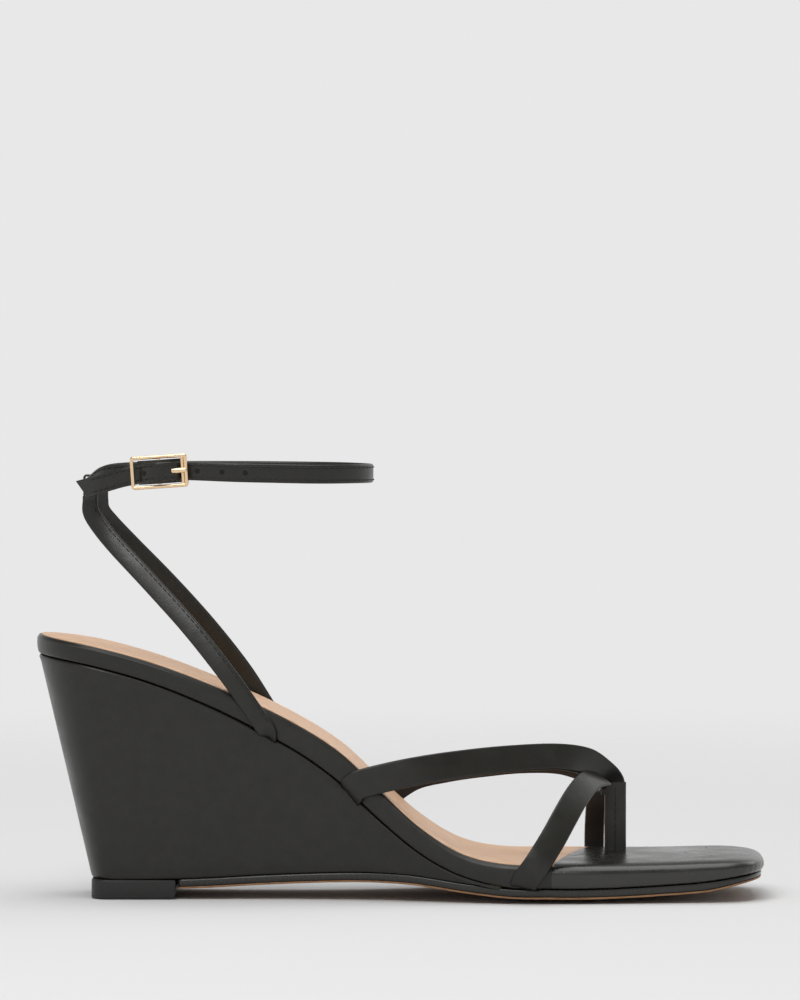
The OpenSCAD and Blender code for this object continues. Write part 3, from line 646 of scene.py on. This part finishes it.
def noise(tree, place, size, detail=3.0, stretch=(1, 1, 1)):
    """Noise whose features are size millimetres across, stretched along the axes."""
    if stretch != (1, 1, 1):
        place = node(tree, "ShaderNodeVectorMath",
                     {0: place, 1: tuple(1 / s for s in stretch)}, operation="MULTIPLY")
    return node(tree, "ShaderNodeTexNoise",
                {"Vector": place, "Scale": 1 / size, "Detail": detail, "Roughness": 0.55})


def spread(tree, value, low, high):
    """Carries a value from the middle of 0 to 1 over low to high."""
    return node(tree, "ShaderNodeMapRange",
                {"Value": value, "From Min": 0.3, "From Max": 0.7, "To Min": low, "To Max": high})


def bumped(tree, height, deep, normal=None):
    """A normal bumped by a height, deep millimetres from its low to its high."""
    inputs = {"Height": height, "Distance": deep * MM, "Strength": 1.0}
    if normal:
        inputs["Normal"] = normal
    return node(tree, "ShaderNodeBump", inputs)


def leather(name, code, shade, rough, grain=0.45, grain_deep=0.018, roll=9.0, roll_deep=0.12,
            fibre=(1, 1, 1), fibre_size=4.0, coat=0.0, shine=0.5):
    """Leather: a fine grain of pores, soft rolls in the hide, fibres that tint it."""
    made, tree, place = material(name, code)
    fibres = noise(tree, place, fibre_size, 6.0, fibre)
    tint = node(tree, "ShaderNodeMix", {0: spread(tree, fibres, 0, 1), 6: linear(shade),
                                        7: linear(code)}, out=2, data_type="RGBA")
    rolls = noise(tree, place, roll, 2.0)
    wobble = node(tree, "ShaderNodeVectorMath",
                  {0: place, 1: node(tree, "ShaderNodeTexNoise",
                                     {"Vector": place, "Scale": 1.4}, out=1)}, operation="ADD")
    pores = node(tree, "ShaderNodeTexVoronoi", {"Vector": wobble, "Scale": 1 / grain},
                 feature="SMOOTH_F1")
    normal = bumped(tree, rolls, roll_deep)
    normal = bumped(tree, pores, grain_deep, normal)
    normal = bumped(tree, fibres, grain_deep * 1.5, normal)
    shader = node(tree, "ShaderNodeBsdfPrincipled",
                  {"Base Color": tint, "Roughness": spread(tree, rolls, rough - 0.05, rough + 0.06),
                   "Specular IOR Level": shine, "Coat Weight": coat, "Coat Roughness": 0.35,
                   "Normal": normal})
    node(tree, "ShaderNodeOutputMaterial", {"Surface": shader})
    return made


def plain(name, code, rough, metal=0.0, grit=0.6, grit_deep=0.01):
    """A moulded, cast or woven material with a slight grit."""
    made, tree, place = material(name, code)
    grits = noise(tree, place, grit, 4.0)
    shader = node(tree, "ShaderNodeBsdfPrincipled",
                  {"Base Color": linear(code), "Metallic": metal,
                   "Roughness": spread(tree, grits, rough * 0.88, rough * 1.12),
                   "Normal": bumped(tree, grits, grit_deep)})
    node(tree, "ShaderNodeOutputMaterial", {"Surface": shader})
    return made


LOOKS = {}


def looks(colours):
    """Every material of the sandal, made once."""
    if LOOKS:
        return LOOKS
    LOOKS.update({
        # Smooth aniline calf: nearly black, a soft broken sheen along the edges and folds.
        "calf": leather("Smooth black calf leather", colours.calf, "#13120D", 0.34, shine=0.47),
        # The same hide drawn over a pad, so its rolls are softer and wider.
        "toe": leather("Padded black calf leather", colours.calf, "#14130F", 0.27, grain=0.5,
                       grain_deep=0.03, roll=14.0, roll_deep=0.22, shine=0.75),
        # Undyed leather with lengthwise fibres: warm, matt, a little uneven.
        "sock": leather("Vegetable-tanned sock leather", colours.sock, colours.sock_dark, 0.5,
                        grain=0.6, grain_deep=0.02, roll_deep=0.06, fibre=(9, 1, 1),
                        fibre_size=1.3),
        # Dull brown lining that makes the strap's outer leather look blacker.
        "lining": leather("Dark brown lining leather", colours.lining, "#0E0B09", 0.6),
        # Cut fibres of the sole's raw edge: a thin warm line at the ground.
        "outsole": leather("Raw leather sole edge", colours.outsole, "#75553A", 0.75,
                           grain=0.25, fibre=(6, 6, 1), fibre_size=0.5),
        # Polished black strip that catches the light in one thin line above the ground.
        "runner": plain("Black moulded runner", colours.runner, 0.26, grit=0.4, grit_deep=0.012),
        # Dense black rubber with a satin face.
        "rubber": plain("Moulded top piece rubber", colours.rubber, 0.48, grit=0.3,
                        grit_deep=0.015),
        # Pale gold plating on a zinc casting: mirror-like, with rounded bright edges.
        "gold": plain("Pale gold plated zinc alloy", colours.gold, 0.17, metal=1.0, grit=2.2,
                      grit_deep=0.012),
        # Bonded polyester thread, a shade lighter than the leather where it catches the light.
        "thread": plain("Black bonded thread", colours.thread, 0.5, grit=0.15, grit_deep=0.02),
        # Painted shade: flat dark discs on the ankle strap stand in for the shadowed inside of its
        # punched holes.
        "hole": plain("Painted hole shade", "#0B0A09", 0.9),
        # Unseen inner pieces.
        "steel": plain("Plain steel", "#B4B5B8", 0.35, metal=1.0),
        "core": plain("Moulded wedge", "#B08A5A", 0.7),
        "board": plain("Fibre board", "#8F7350", 0.85, grit=0.3, grit_deep=0.03),
        "filler": plain("Cork filler", "#A98C66", 0.9, grit=1.2, grit_deep=0.1),
        "foam": plain("Latex foam", "#E3D9C4", 0.9, grit=0.5, grit_deep=0.05),
    })
    return LOOKS


def place(obj, look, slot, *nodes, body="root"):
    """Gives a piece its material and body, and hides the CAD nodes that it stands for. The slot
    argument is not used.
    """
    obj.data.materials.append(look)
    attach(obj, body)
    if nodes:
        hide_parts(*nodes)
    return obj


# ---- Operators -------------------------------------------------------------------------------

class SANDAL_OT_inner(bpy.types.Operator):
    """Give the unseen inner pieces their materials"""
    bl_idname = "sandal.inner"
    bl_label = "Inner Pieces"

    def execute(self, context):
        look = looks(context.scene.sandal_colours)
        finishes = {"top_piece_pins": "steel", "shank": "steel", "shank_rivets": "steel",
                    "heel_screws": "steel", "wedge_core": "core", "insole_board": "board",
                    "bottom_filler": "filler", "footbed_foam": "foam", "toe_pad": "foam"}
        for name, finish in finishes.items():
            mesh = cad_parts[name].data
            mesh.materials.clear()
            mesh.materials.append(look[finish])
        return {"FINISHED"}


class SANDAL_OT_wedge(bpy.types.Operator):
    """Wrap the wedge in leather and round the edges of the rubber top piece"""
    bl_idname = "sandal.wedge"
    bl_label = "Wedge"

    def execute(self, context):
        look = looks(context.scene.sandal_colours)

        def level(inset, u, drop=0.0):
            hi = ring(WEDGE_TOP, inset + 0.5, lambda x, y: seam_z(x, y) - SEAM_OPEN - drop)
            lo = ring(WEDGE_FOOT, inset, lambda x, y: runner_z(x, y) + GLUE)
            return [Vector(a).lerp(Vector(b), u) for a, b in zip(lo, hi)]

        rings = [level(6, 0), level(0.5, 0), level(0.12, 0.006), level(0, 0.02)]
        rings += [level(0, 0.1 * i) for i in range(1, 10)]
        rings += [level(0, 0.965), level(0, 1, 0.9), level(0.12, 1, 0.45), level(0.35, 1, 0.15),
                  level(0.75, 1), level(6, 1)]
        place(loft("Wedge_leather", rings, sharp=60), look["calf"], "black_leather", "wedge_cover")
        place(softened_copy("top_piece", "Top_piece", 0.5), look["rubber"], "top_piece_rubber",
              "top_piece")
        return {"FINISHED"}


class SANDAL_OT_sole(bpy.types.Operator):
    """Make the black runner and the thin leather outsole"""
    bl_idname = "sandal.sole"
    bl_label = "Sole"

    def execute(self, context):
        look = looks(context.scene.sandal_colours)

        def slab(name, top, bottom, soft, shift):
            """A slab whose soft edge is drawn in by shift, between two heights over the sole."""
            rings = []
            for inset, side, up in ((20, 0, 0), (10, 0, 0), (5, 0, 0), (soft, 0, 0),
                                    (soft * 0.3, 0, soft * 0.3), (0, 0, soft), (0, 1, -soft),
                                    (soft * 0.3, 1, -soft * 0.3), (soft, 1, 0), (5, 1, 0),
                                    (10, 1, 0), (20, 1, 0)):
                level = top if side else bottom
                rings.append(ring(SOLE, inset + shift, lambda x, y, z=level, u=up: z(x, y) + u))
            return loft(name, rings, sharp=60)

        def leather_top(x, y):
            return runner_base(x, y) - GLUE

        def leather_base(x, y):
            return runner_base(x, y) - GLUE - OUTSOLE_T

        place(slab("Runner", runner_z, runner_base, 0.55, 0), look["runner"], "runner", "runner")
        place(slab("Outsole", leather_top, leather_base, 0.12, 0.15), look["outsole"],
              "outsole_leather", "outsole")
        return {"FINISHED"}


class SANDAL_OT_binding(bpy.types.Operator):
    """Wrap the footbed's edge in leather"""
    bl_idname = "sandal.binding"
    bl_label = "Edge Binding"

    def execute(self, context):
        look = looks(context.scene.sandal_colours)
        top_in = context.scene.sandal_sizes.edge_show + 0.6
        rings = []
        for inset, share, up in ((0.9, 0, 0), (0.45, 0, 0.12), (0.2, 0, 0.45), (0.08, 0, 1.0),
                                 (-0.1, 0.3, 0), (-0.2, 0.55, 0), (-0.12, 0.8, 0),
                                 (0.08, 1, -1.1), (0.25, 1, -0.7)):
            rings.append(ring(BED, inset, lambda x, y, s=share, u=up:
                              seam_z(x, y) * (1 - s) + curve(BED_LINE, x) * s + u))
        for inset, depth in ((0.45, 0.35), (0.7, 0.18), (1.0, 0.1), (top_in - 0.55, 0.12),
                             (top_in - 0.2, 0.35), (top_in, 0.75), (MARGIN_W, 0.8),
                             (MARGIN_W, 1.4), (BINDING_T, 1.4)):
            rings.append(ring(BED, inset, lambda x, y, d=depth: layer_z(x, d)))
        for inset, up in ((BINDING_T, MARGIN_T), (MARGIN_W, MARGIN_T), (MARGIN_W, 0)):
            rings.append(ring(BED, inset, lambda x, y, u=up: seam_z(x, y) + u))
        made = loft("Edge_binding", rings, closed=True, sharp=60)
        cut_by_cover_line(made, keep_toe=False)
        place(made, look["calf"], "black_leather", "edge_binding")
        return {"FINISHED"}


class SANDAL_OT_toe(bpy.types.Operator):
    """Stretch the padded leather cover over the square toe"""
    bl_idname = "sandal.toe"
    bl_label = "Toe Cover"

    def execute(self, context):
        look = looks(context.scene.sandal_colours)
        deep = context.scene.sandal_sizes.pleat_deep

        def pleated(rings_in, share):
            """A ring of the side wall, gathered into pleats round the front."""
            points = []
            for x, y, z in rings_in:
                front = ramp(x, 184, 198)
                fold = math.sin(y * 1.9 + x) + 0.6 * math.sin(y * 0.83 - x * 1.3)
                away = Vector((x - 165, y * 0.6, 0)).normalized()
                points.append(Vector((x, y, z)) + away * deep * fold * front * share)
            return points

        rings = []
        for inset, up in ((MARGIN_W, 0), (0.9, 0), (0.4, 0.15), (0.15, 0.5)):
            rings.append(ring(TOE_BED, inset, lambda x, y, u=up: seam_z(x, y) + u))
        for inset, share, fold in ((0.0, 0.2, 0.9), (-0.12, 0.32, 1), (-0.18, 0.44, 1),
                                   (-0.14, 0.55, 0.6)):
            wall = ring(TOE_BED, inset, lambda x, y, s=share:
                        seam_z(x, y) * (1 - s) + toe_top(x, y) * s)
            rings.append(pleated(wall, fold))
        for inset, down in ((0.02, 3.2), (0.3, 2.4), (0.8, 1.65), (1.5, 1.05), (2.5, 0.58),
                            (3.8, 0.26), (5.4, 0.08), (7.5, 0), (10, 0), (14, 0), (19, 0), (25, 0)):
            rings.append(ring(TOE_BED, inset, lambda x, y, d=down: toe_top(x, y)
                              - d * min(1, (toe_top(x, y) - seam_z(x, y)) / 9)))
        made = loft("Toe_cover", rings, sharp=60)
        cut_by_cover_line(made, keep_toe=True)
        place(made, look["toe"], "toe_leather", "toe_cover")
        return {"FINISHED"}


class SANDAL_OT_sock(bpy.types.Operator):
    """Lay the tan sock leather on the footbed"""
    bl_idname = "sandal.sock"
    bl_label = "Sock Lining"

    def execute(self, context):
        look = looks(context.scene.sandal_colours)
        edge = context.scene.sandal_sizes.edge_show
        profile = [(edge + 0.9, 0.75), (edge + 0.3, 0.5), (edge + 0.08, 0.15), (edge + 0.15, -0.1),
                   (edge + 0.4, -0.24), (edge + 1, -0.33), (edge + 2.2, -0.35), (6, -0.32),
                   (10, -0.22), (15, -0.12), (20, -0.06)]
        made = loft("Sock_lining", [ring(BED, inset, lambda x, y, d=depth: layer_z(x, d))
                                    for inset, depth in profile], sharp=60)
        cut_by_cover_line(made, keep_toe=False, shift=0.1)
        place(made, look["sock"], "sock_leather", "sock_lining")
        return {"FINISHED"}


def sewn_strap(name, route, width, sizes, ends, lining_side):
    """A strap's outer leather and lining; ends are the rows that the lining leaves out."""
    path = smooth_path(ROUTES[route], STEPS)
    narrow = min(1.0, sizes.post_wide / width * NARROW_SHARE)
    outer = sweep(name, path, strap_section(width, sizes.strap_thick), narrow=narrow)
    inner = path[ends[0] * STEPS:len(path) - ends[1] * STEPS]
    off = lining_side * (sizes.strap_thick + sizes.lining_thick + 2 * GLUE) / 2
    lining = sweep(name + "_lining", inner,
                   strap_section(width - 0.4, sizes.lining_thick, crown=0.0, points=6), off,
                   narrow)
    return outer, lining


class SANDAL_OT_upper(bpy.types.Operator):
    """Sew the instep straps, the toe strap, the toe loop and the toe post"""
    bl_idname = "sandal.upper"
    bl_label = "Instep and Toe Straps"

    def execute(self, context):
        look = looks(context.scene.sandal_colours)
        sizes = context.scene.sandal_sizes
        for name, route, width, side, cad, ends in (
                ("Instep_strap_lateral", "instep_lateral", sizes.instep_wide, -1,
                 ("instep_strap_lateral", "instep_lining_lateral"), (2, 2)),
                ("Instep_strap_medial", "instep_medial", sizes.instep_wide, -1,
                 ("instep_strap_medial", "instep_lining_medial"), (2, 1)),
                ("Toe_strap", "toe_strap", sizes.toe_strap_wide, 1,
                 ("toe_strap", "toe_strap_lining"), (2, 1)),
                ("Toe_loop", "toe_loop", sizes.toe_loop_wide, 1,
                 ("toe_loop", "toe_loop_lining"), (2, 1))):
            outer, lining = sewn_strap(name, route, width, sizes, ends, side)
            place(outer, look["calf"], "black_leather", cad[0])
            place(lining, look["lining"], "strap_lining", cad[1])
        rows = [((POST_AT[0], POST_AT[1], z), (1, 0, 0)) for z in (7.4, 12, 18, 24, 30, 35.4)]
        path = smooth_path(rows, 6)
        post = sweep("Toe_post", path, strap_section(sizes.post_wide, 2.6, groove=0.22,
                                                     grooves=(0.0,)))
        place(post, look["calf"], "black_leather", "toe_post")
        for side in (1, -1):
            thread = stitches("Toe_post_thread_%s" % ("in" if side > 0 else "out"), path, (0.0,),
                              side * 1.2, sizes, start=6, stop=1)
            place(thread, look["thread"], None)
        return {"FINISHED"}


def rounded_box(half, radius, steps=8):
    """Points round a rounded rectangle, each with the direction that faces out of it."""
    out = []
    for turn in range(4):
        for k in range(steps + 1):
            v = math.radians(90 * (turn + k / steps))
            corner = [(1, 1), (-1, 1), (-1, -1), (1, -1)][turn]
            away = (math.cos(v), math.sin(v))
            out.append(([corner[i] * (half[i] - radius) + radius * away[i] for i in (0, 1)], away))
    return out


def back_loop():
    """The leather band that the ankle strap runs through, its faces crowned."""
    half, wall, wide = (1.6, 3.75), 0.5, 2.9
    points = []
    rim = rounded_box(half, 0.9)
    section = [(0, -wide), (0.16, -wide * 0.6), (0.2, 0), (0.16, wide * 0.6), (0, wide),
               (-wall, wide), (-wall, 0), (-wall, -wide)]
    for out, y in section:
        points += [LOOP_AT + Vector((at[0] + away[0] * out, y, at[1] + away[1] * out))
                   for at, away in rim]
    m = len(rim)
    faces = []
    for k in range(len(section)):
        faces += wall_faces(k, (k + 1) % len(section), m)
    return tidy_normals(piece("Back_loop", points, faces, 50))


class SANDAL_OT_slings(bpy.types.Operator):
    """Sew the two sling straps and the loop behind the ankle"""
    bl_idname = "sandal.slings"
    bl_label = "Slings and Back Loop"

    def execute(self, context):
        look = looks(context.scene.sandal_colours)
        sizes = context.scene.sandal_sizes
        thick = sizes.strap_thick + 0.2
        across = sizes.sling_wide / 2 - sizes.stitch_inset
        for node_name in ("sling_lateral", "sling_medial"):
            name = node_name.capitalize()
            path = smooth_path(ROUTES[node_name], STEPS)
            end = path[-1]
            path.append((end[0] + Vector((0, 0, 1.4)), *end[1:]))
            made = sweep(name, path, strap_section(sizes.sling_wide, thick))
            place(made, look["calf"], "black_leather", node_name)
            for side in (1, -1):
                thread = stitches("%s_thread_%s" % (name, "out" if side > 0 else "in"), path,
                                  (across,), side * (thick / 2 - 0.02), sizes, start=9, stop=5)
                place(thread, look["thread"], None)
        place(back_loop(), look["calf"], "black_leather", "back_loop")
        return {"FINISHED"}


class SANDAL_OT_ankle(bpy.types.Operator):
    """Sew the ankle strap with its fold and two lines of stitches, and lay dark discs of painted
    shade where its holes are
    """
    bl_idname = "sandal.ankle"
    bl_label = "Ankle Strap"

    def execute(self, context):
        look = looks(context.scene.sandal_colours)
        sizes = context.scene.sandal_sizes
        path = smooth_path(ANKLE_ROUTE, 10)
        end = path[-1]
        path.append((end[0] + end[1] * 4, *end[1:]))
        half = sizes.ankle_wide / 2
        lines = (half - sizes.stitch_inset, sizes.stitch_inset - half)
        section = strap_section(sizes.ankle_wide, sizes.ankle_thick, groove=0.07, grooves=lines)
        strap = sweep("Ankle_strap", path, section)
        cut_off(strap, TAIL_CUT, TAIL_FACING)
        place(strap, look["calf"], "black_leather", "ankle_strap", body="ankle")
        for name, up in (("upper", 2.5), ("lower", -2.5)):
            rows = [(on_buckle(along, out, up), UP) for along, out in
                    ((-7.4, -3.0), (-5.6, -2.1), (-3.6, -0.4), (-1.8, 0.9), (0, 1.4), (1.8, 0.9),
                     (3.6, -0.5), (5.4, -1.9), (6.6, -2.4))]
            fold = sweep("Ankle_fold_" + name, smooth_path(rows, 4), strap_section(2.6, 0.5))
            place(fold, look["calf"], "black_leather", body="ankle")
        for side in (1, -1):
            thread = stitches("Ankle_thread_%s" % ("out" if side > 0 else "in"), path, lines,
                              side * (sizes.ankle_thick / 2 - 0.02), sizes, start=5, stop=8)
            place(thread, look["thread"], None, body="ankle")
        # The holes are not cut: each is a flat dark disc just proud of the strap, painted shade
        # standing in for the hole.
        points, faces = [], []
        for hole in HOLES_AT:
            near = on_buckle(hole, -1, -0.6)
            spot = min(path[len(path) // 2:], key=lambda s: (s[0] - near).length)
            outward = -1 if spot[3].y > 0 else 1
            first = len(points)
            for q in range(20):
                v = 2 * math.pi * q / 20
                points.append(spot[0] + spot[1] * HOLE_R * math.cos(v)
                              + spot[2] * HOLE_R * math.sin(v)
                              + spot[3] * outward * (sizes.ankle_thick / 2 + 0.03))
            faces.append(tuple(first + q for q in range(20)))
        place(piece("Ankle_hole_shade", points, faces), look["hole"], None, body="ankle")
        return {"FINISHED"}


def buckle_frame():
    """The cast frame: a crowned bar round a rounded rectangle, and a second bar for the prong."""
    thick = 0.6
    sides = 16
    points, faces = [], []

    def section(k):
        v = 2 * math.pi * k / sides
        c, s = math.cos(v), math.sin(v)
        return (math.copysign(abs(c) ** 0.75, c) * thick, math.copysign(abs(s) ** 0.75, s) * thick)

    rim = rounded_box((BUCKLE_L / 2 - thick, BUCKLE_H / 2 - thick), 0.5)
    for k in range(sides):
        across, out = section(k)
        points += [on_buckle(at[0] + away[0] * across, out, at[1] + away[1] * across)
                   for at, away in rim]
    for k in range(sides):
        faces += wall_faces(k, (k + 1) % sides, len(rim))
    first = len(points)
    rows = 7
    for r in range(rows):
        up = (r / (rows - 1) - 0.5) * (BUCKLE_H - 1.6)
        for k in range(sides):
            across, out = section(k)
            points.append(on_buckle(BUCKLE_L / 2 - 1.7 + across * 0.85, out * 0.8, up))
    for r in range(rows - 1):
        faces += [tuple(first + i for i in f) for f in wall_faces(r, r + 1, sides)]
    faces += [tuple(first + k for k in range(sides)),
              tuple(first + (rows - 1) * sides + k for k in range(sides))]
    return tidy_normals(piece("Buckle_frame", points, faces, 60))


def prong():
    """The prong: an eye rolled round the centre bar and a tapered shaft with a rounded tip."""
    sides = 20
    points, faces = [], []
    for x, high, deep in ((0.2, 0.72, 0.3), (1, 0.78, 0.42), (3, 0.8, 0.46), (6, 0.82, 0.5),
                          (8.2, 0.82, 0.52), (8.75, 0.72, 0.46), (9.05, 0.52, 0.36),
                          (9.25, 0.24, 0.16), (9.3, 0.03, 0.02)):
        for q in range(sides):
            v = 2 * math.pi * q / sides
            points.append(on_buckle(x, 0.98 + deep * math.cos(v), high * math.sin(v)))
    rows = len(points) // sides
    for k in range(rows - 1):
        faces += wall_faces(k, k + 1, sides)
    faces += [tuple(range(sides)), tuple((rows - 1) * sides + q for q in range(sides))[::-1]]
    first = len(points)
    for high, r in ((-0.75, 0.78), (-0.75, 1.15), (-0.6, 1.3), (0.6, 1.3), (0.75, 1.15),
                    (0.75, 0.78)):
        for q in range(sides):
            v = 2 * math.pi * q / sides
            points.append(on_buckle(r * math.cos(v), r * math.sin(v), high))
    for k in range(6):
        faces += [tuple(first + i for i in f) for f in wall_faces(k, (k + 1) % 6, sides)]
    return tidy_normals(piece("Buckle_prong", points, faces, 50))


class SANDAL_OT_buckle(bpy.types.Operator):
    """Round the edges of the cast buckle and gild it"""
    bl_idname = "sandal.buckle"
    bl_label = "Buckle"

    def execute(self, context):
        look = looks(context.scene.sandal_colours)
        place(buckle_frame(), look["gold"], "buckle_gold", "buckle_frame", body="buckle")
        place(softened_copy("buckle_bar", "Buckle_bar", 0.1), look["gold"], "buckle_gold",
              "buckle_bar", body="buckle")
        place(prong(), look["gold"], "buckle_gold", "buckle_prong", body="prong")
        return {"FINISHED"}


class SANDAL_OT_stage(bpy.types.Operator):
    """Set the pale floor, the softboxes and the camera"""
    bl_idname = "sandal.stage"
    bl_label = "Stage"

    def execute(self, context):
        scene = context.scene
        setup = scene.sandal_stage
        tone = scene.sandal_colours.floor
        bpy.ops.mesh.primitive_circle_add(vertices=96, radius=4, fill_type="NGON",
                                          location=(0.086, 0, -0.0001))
        floor = context.object
        floor.name = "Floor"
        made, tree, spot = material("Pale studio floor", tone)
        near = node(tree, "ShaderNodeVectorMath", {0: spot}, out="Value", operation="LENGTH")
        fade = node(tree, "ShaderNodeMapRange",
                    {"Value": near, "From Min": 260.0, "From Max": 1100.0},
                    interpolation_type="SMOOTHSTEP")
        lit = node(tree, "ShaderNodeBsdfDiffuse", {"Color": [setup.floor_tone] * 3 + [1.0]})
        clear = node(tree, "ShaderNodeBsdfTransparent")
        both = node(tree, "ShaderNodeMixShader", {0: fade, 1: lit, 2: clear})
        node(tree, "ShaderNodeOutputMaterial", {"Surface": both})
        floor.data.materials.append(made)

        world = bpy.data.worlds.new("Pale room")
        world.use_nodes = True
        world.node_tree.nodes.clear()
        toward = node(world.node_tree, "ShaderNodeTexCoord", out="Generated")
        rise = node(world.node_tree, "ShaderNodeSeparateXYZ", {0: toward}, out=2)
        dimmed = node(world.node_tree, "ShaderNodeMapRange",
                      {"Value": rise, "From Min": 0.2, "From Max": 0.45,
                       "To Min": setup.room_light, "To Max": setup.room_light * setup.ceiling},
                      interpolation_type="SMOOTHSTEP")
        sky = node(world.node_tree, "ShaderNodeBackground",
                   {"Color": linear(tone), "Strength": dimmed})
        node(world.node_tree, "ShaderNodeOutputWorld", {"Surface": sky})
        scene.world = world

        for name, power, size, spot_at, aim in (
                ("Softbox_top", setup.top_light, (2.6, 1.8), (0.1, 0.0, 2.2), (0.086, 0, 0)),
                ("Softbox_side", setup.side_light, (1.2, 0.5), (-0.5, -1.5, 1.5), (0.086, 0, 0.05)),
                ("Softbox_far", setup.far_light, (1.2, 0.6), (1.2, 1.5, 1.2), (0.086, 0, 0.06))):
            lamp = bpy.data.lights.new(name, "AREA")
            lamp.shape = "RECTANGLE"
            lamp.size, lamp.size_y = size
            lamp.energy = power
            light = bpy.data.objects.new(name, lamp)
            light.location = spot_at
            beam = Vector(aim) - Vector(spot_at)
            light.rotation_euler = beam.to_track_quat("-Z", "Y").to_euler()
            scene.collection.objects.link(light)

        camera = bpy.data.cameras.new("Camera")
        camera.lens = setup.camera_lens
        camera.sensor_width = camera.sensor_height = 36
        camera.sensor_fit = "VERTICAL"
        eye = bpy.data.objects.new("Camera", camera)
        eye.location = (setup.camera_along, -setup.camera_back, setup.camera_high)
        eye.rotation_euler = (math.radians(90) - setup.camera_tilt, 0, 0)
        scene.collection.objects.link(eye)
        scene.camera = eye
        scene.view_settings.view_transform = "Standard"
        return {"FINISHED"}


class SANDAL_PT_panel(bpy.types.Panel):
    """Sidebar panel that lists the sandal's operators and settings"""
    bl_label = "Wedge Sandal"
    bl_idname = "SANDAL_PT_panel"
    bl_space_type = "VIEW_3D"
    bl_region_type = "UI"
    bl_category = "Sandal"

    def draw(self, context):
        for operator in OPERATORS:
            self.layout.operator(operator.bl_idname)
        for group in ("sandal_sizes", "sandal_colours", "sandal_stage"):
            settings = getattr(context.scene, group)
            box = self.layout.box()
            for name in settings.__annotations__:
                box.prop(settings, name)


GROUPS = {"sandal_sizes": SandalSizes, "sandal_colours": SandalColours, "sandal_stage": SandalStage}
OPERATORS = (SANDAL_OT_inner, SANDAL_OT_wedge, SANDAL_OT_sole, SANDAL_OT_binding, SANDAL_OT_toe,
             SANDAL_OT_sock, SANDAL_OT_upper, SANDAL_OT_slings, SANDAL_OT_ankle, SANDAL_OT_buckle,
             SANDAL_OT_stage)


def register():
    for name, group in GROUPS.items():
        bpy.utils.register_class(group)
        setattr(bpy.types.Scene, name, PointerProperty(type=group))
    for operator in OPERATORS:
        bpy.utils.register_class(operator)
    bpy.utils.register_class(SANDAL_PT_panel)


def unregister():
    bpy.utils.unregister_class(SANDAL_PT_panel)
    for operator in reversed(OPERATORS):
        bpy.utils.unregister_class(operator)
    for name, group in GROUPS.items():
        delattr(bpy.types.Scene, name)
        bpy.utils.unregister_class(group)


def main():
    register()
    for operator in OPERATORS:
        group, name = operator.bl_idname.split(".")
        getattr(getattr(bpy.ops, group), name)()


if __name__ == "__main__":
    main()
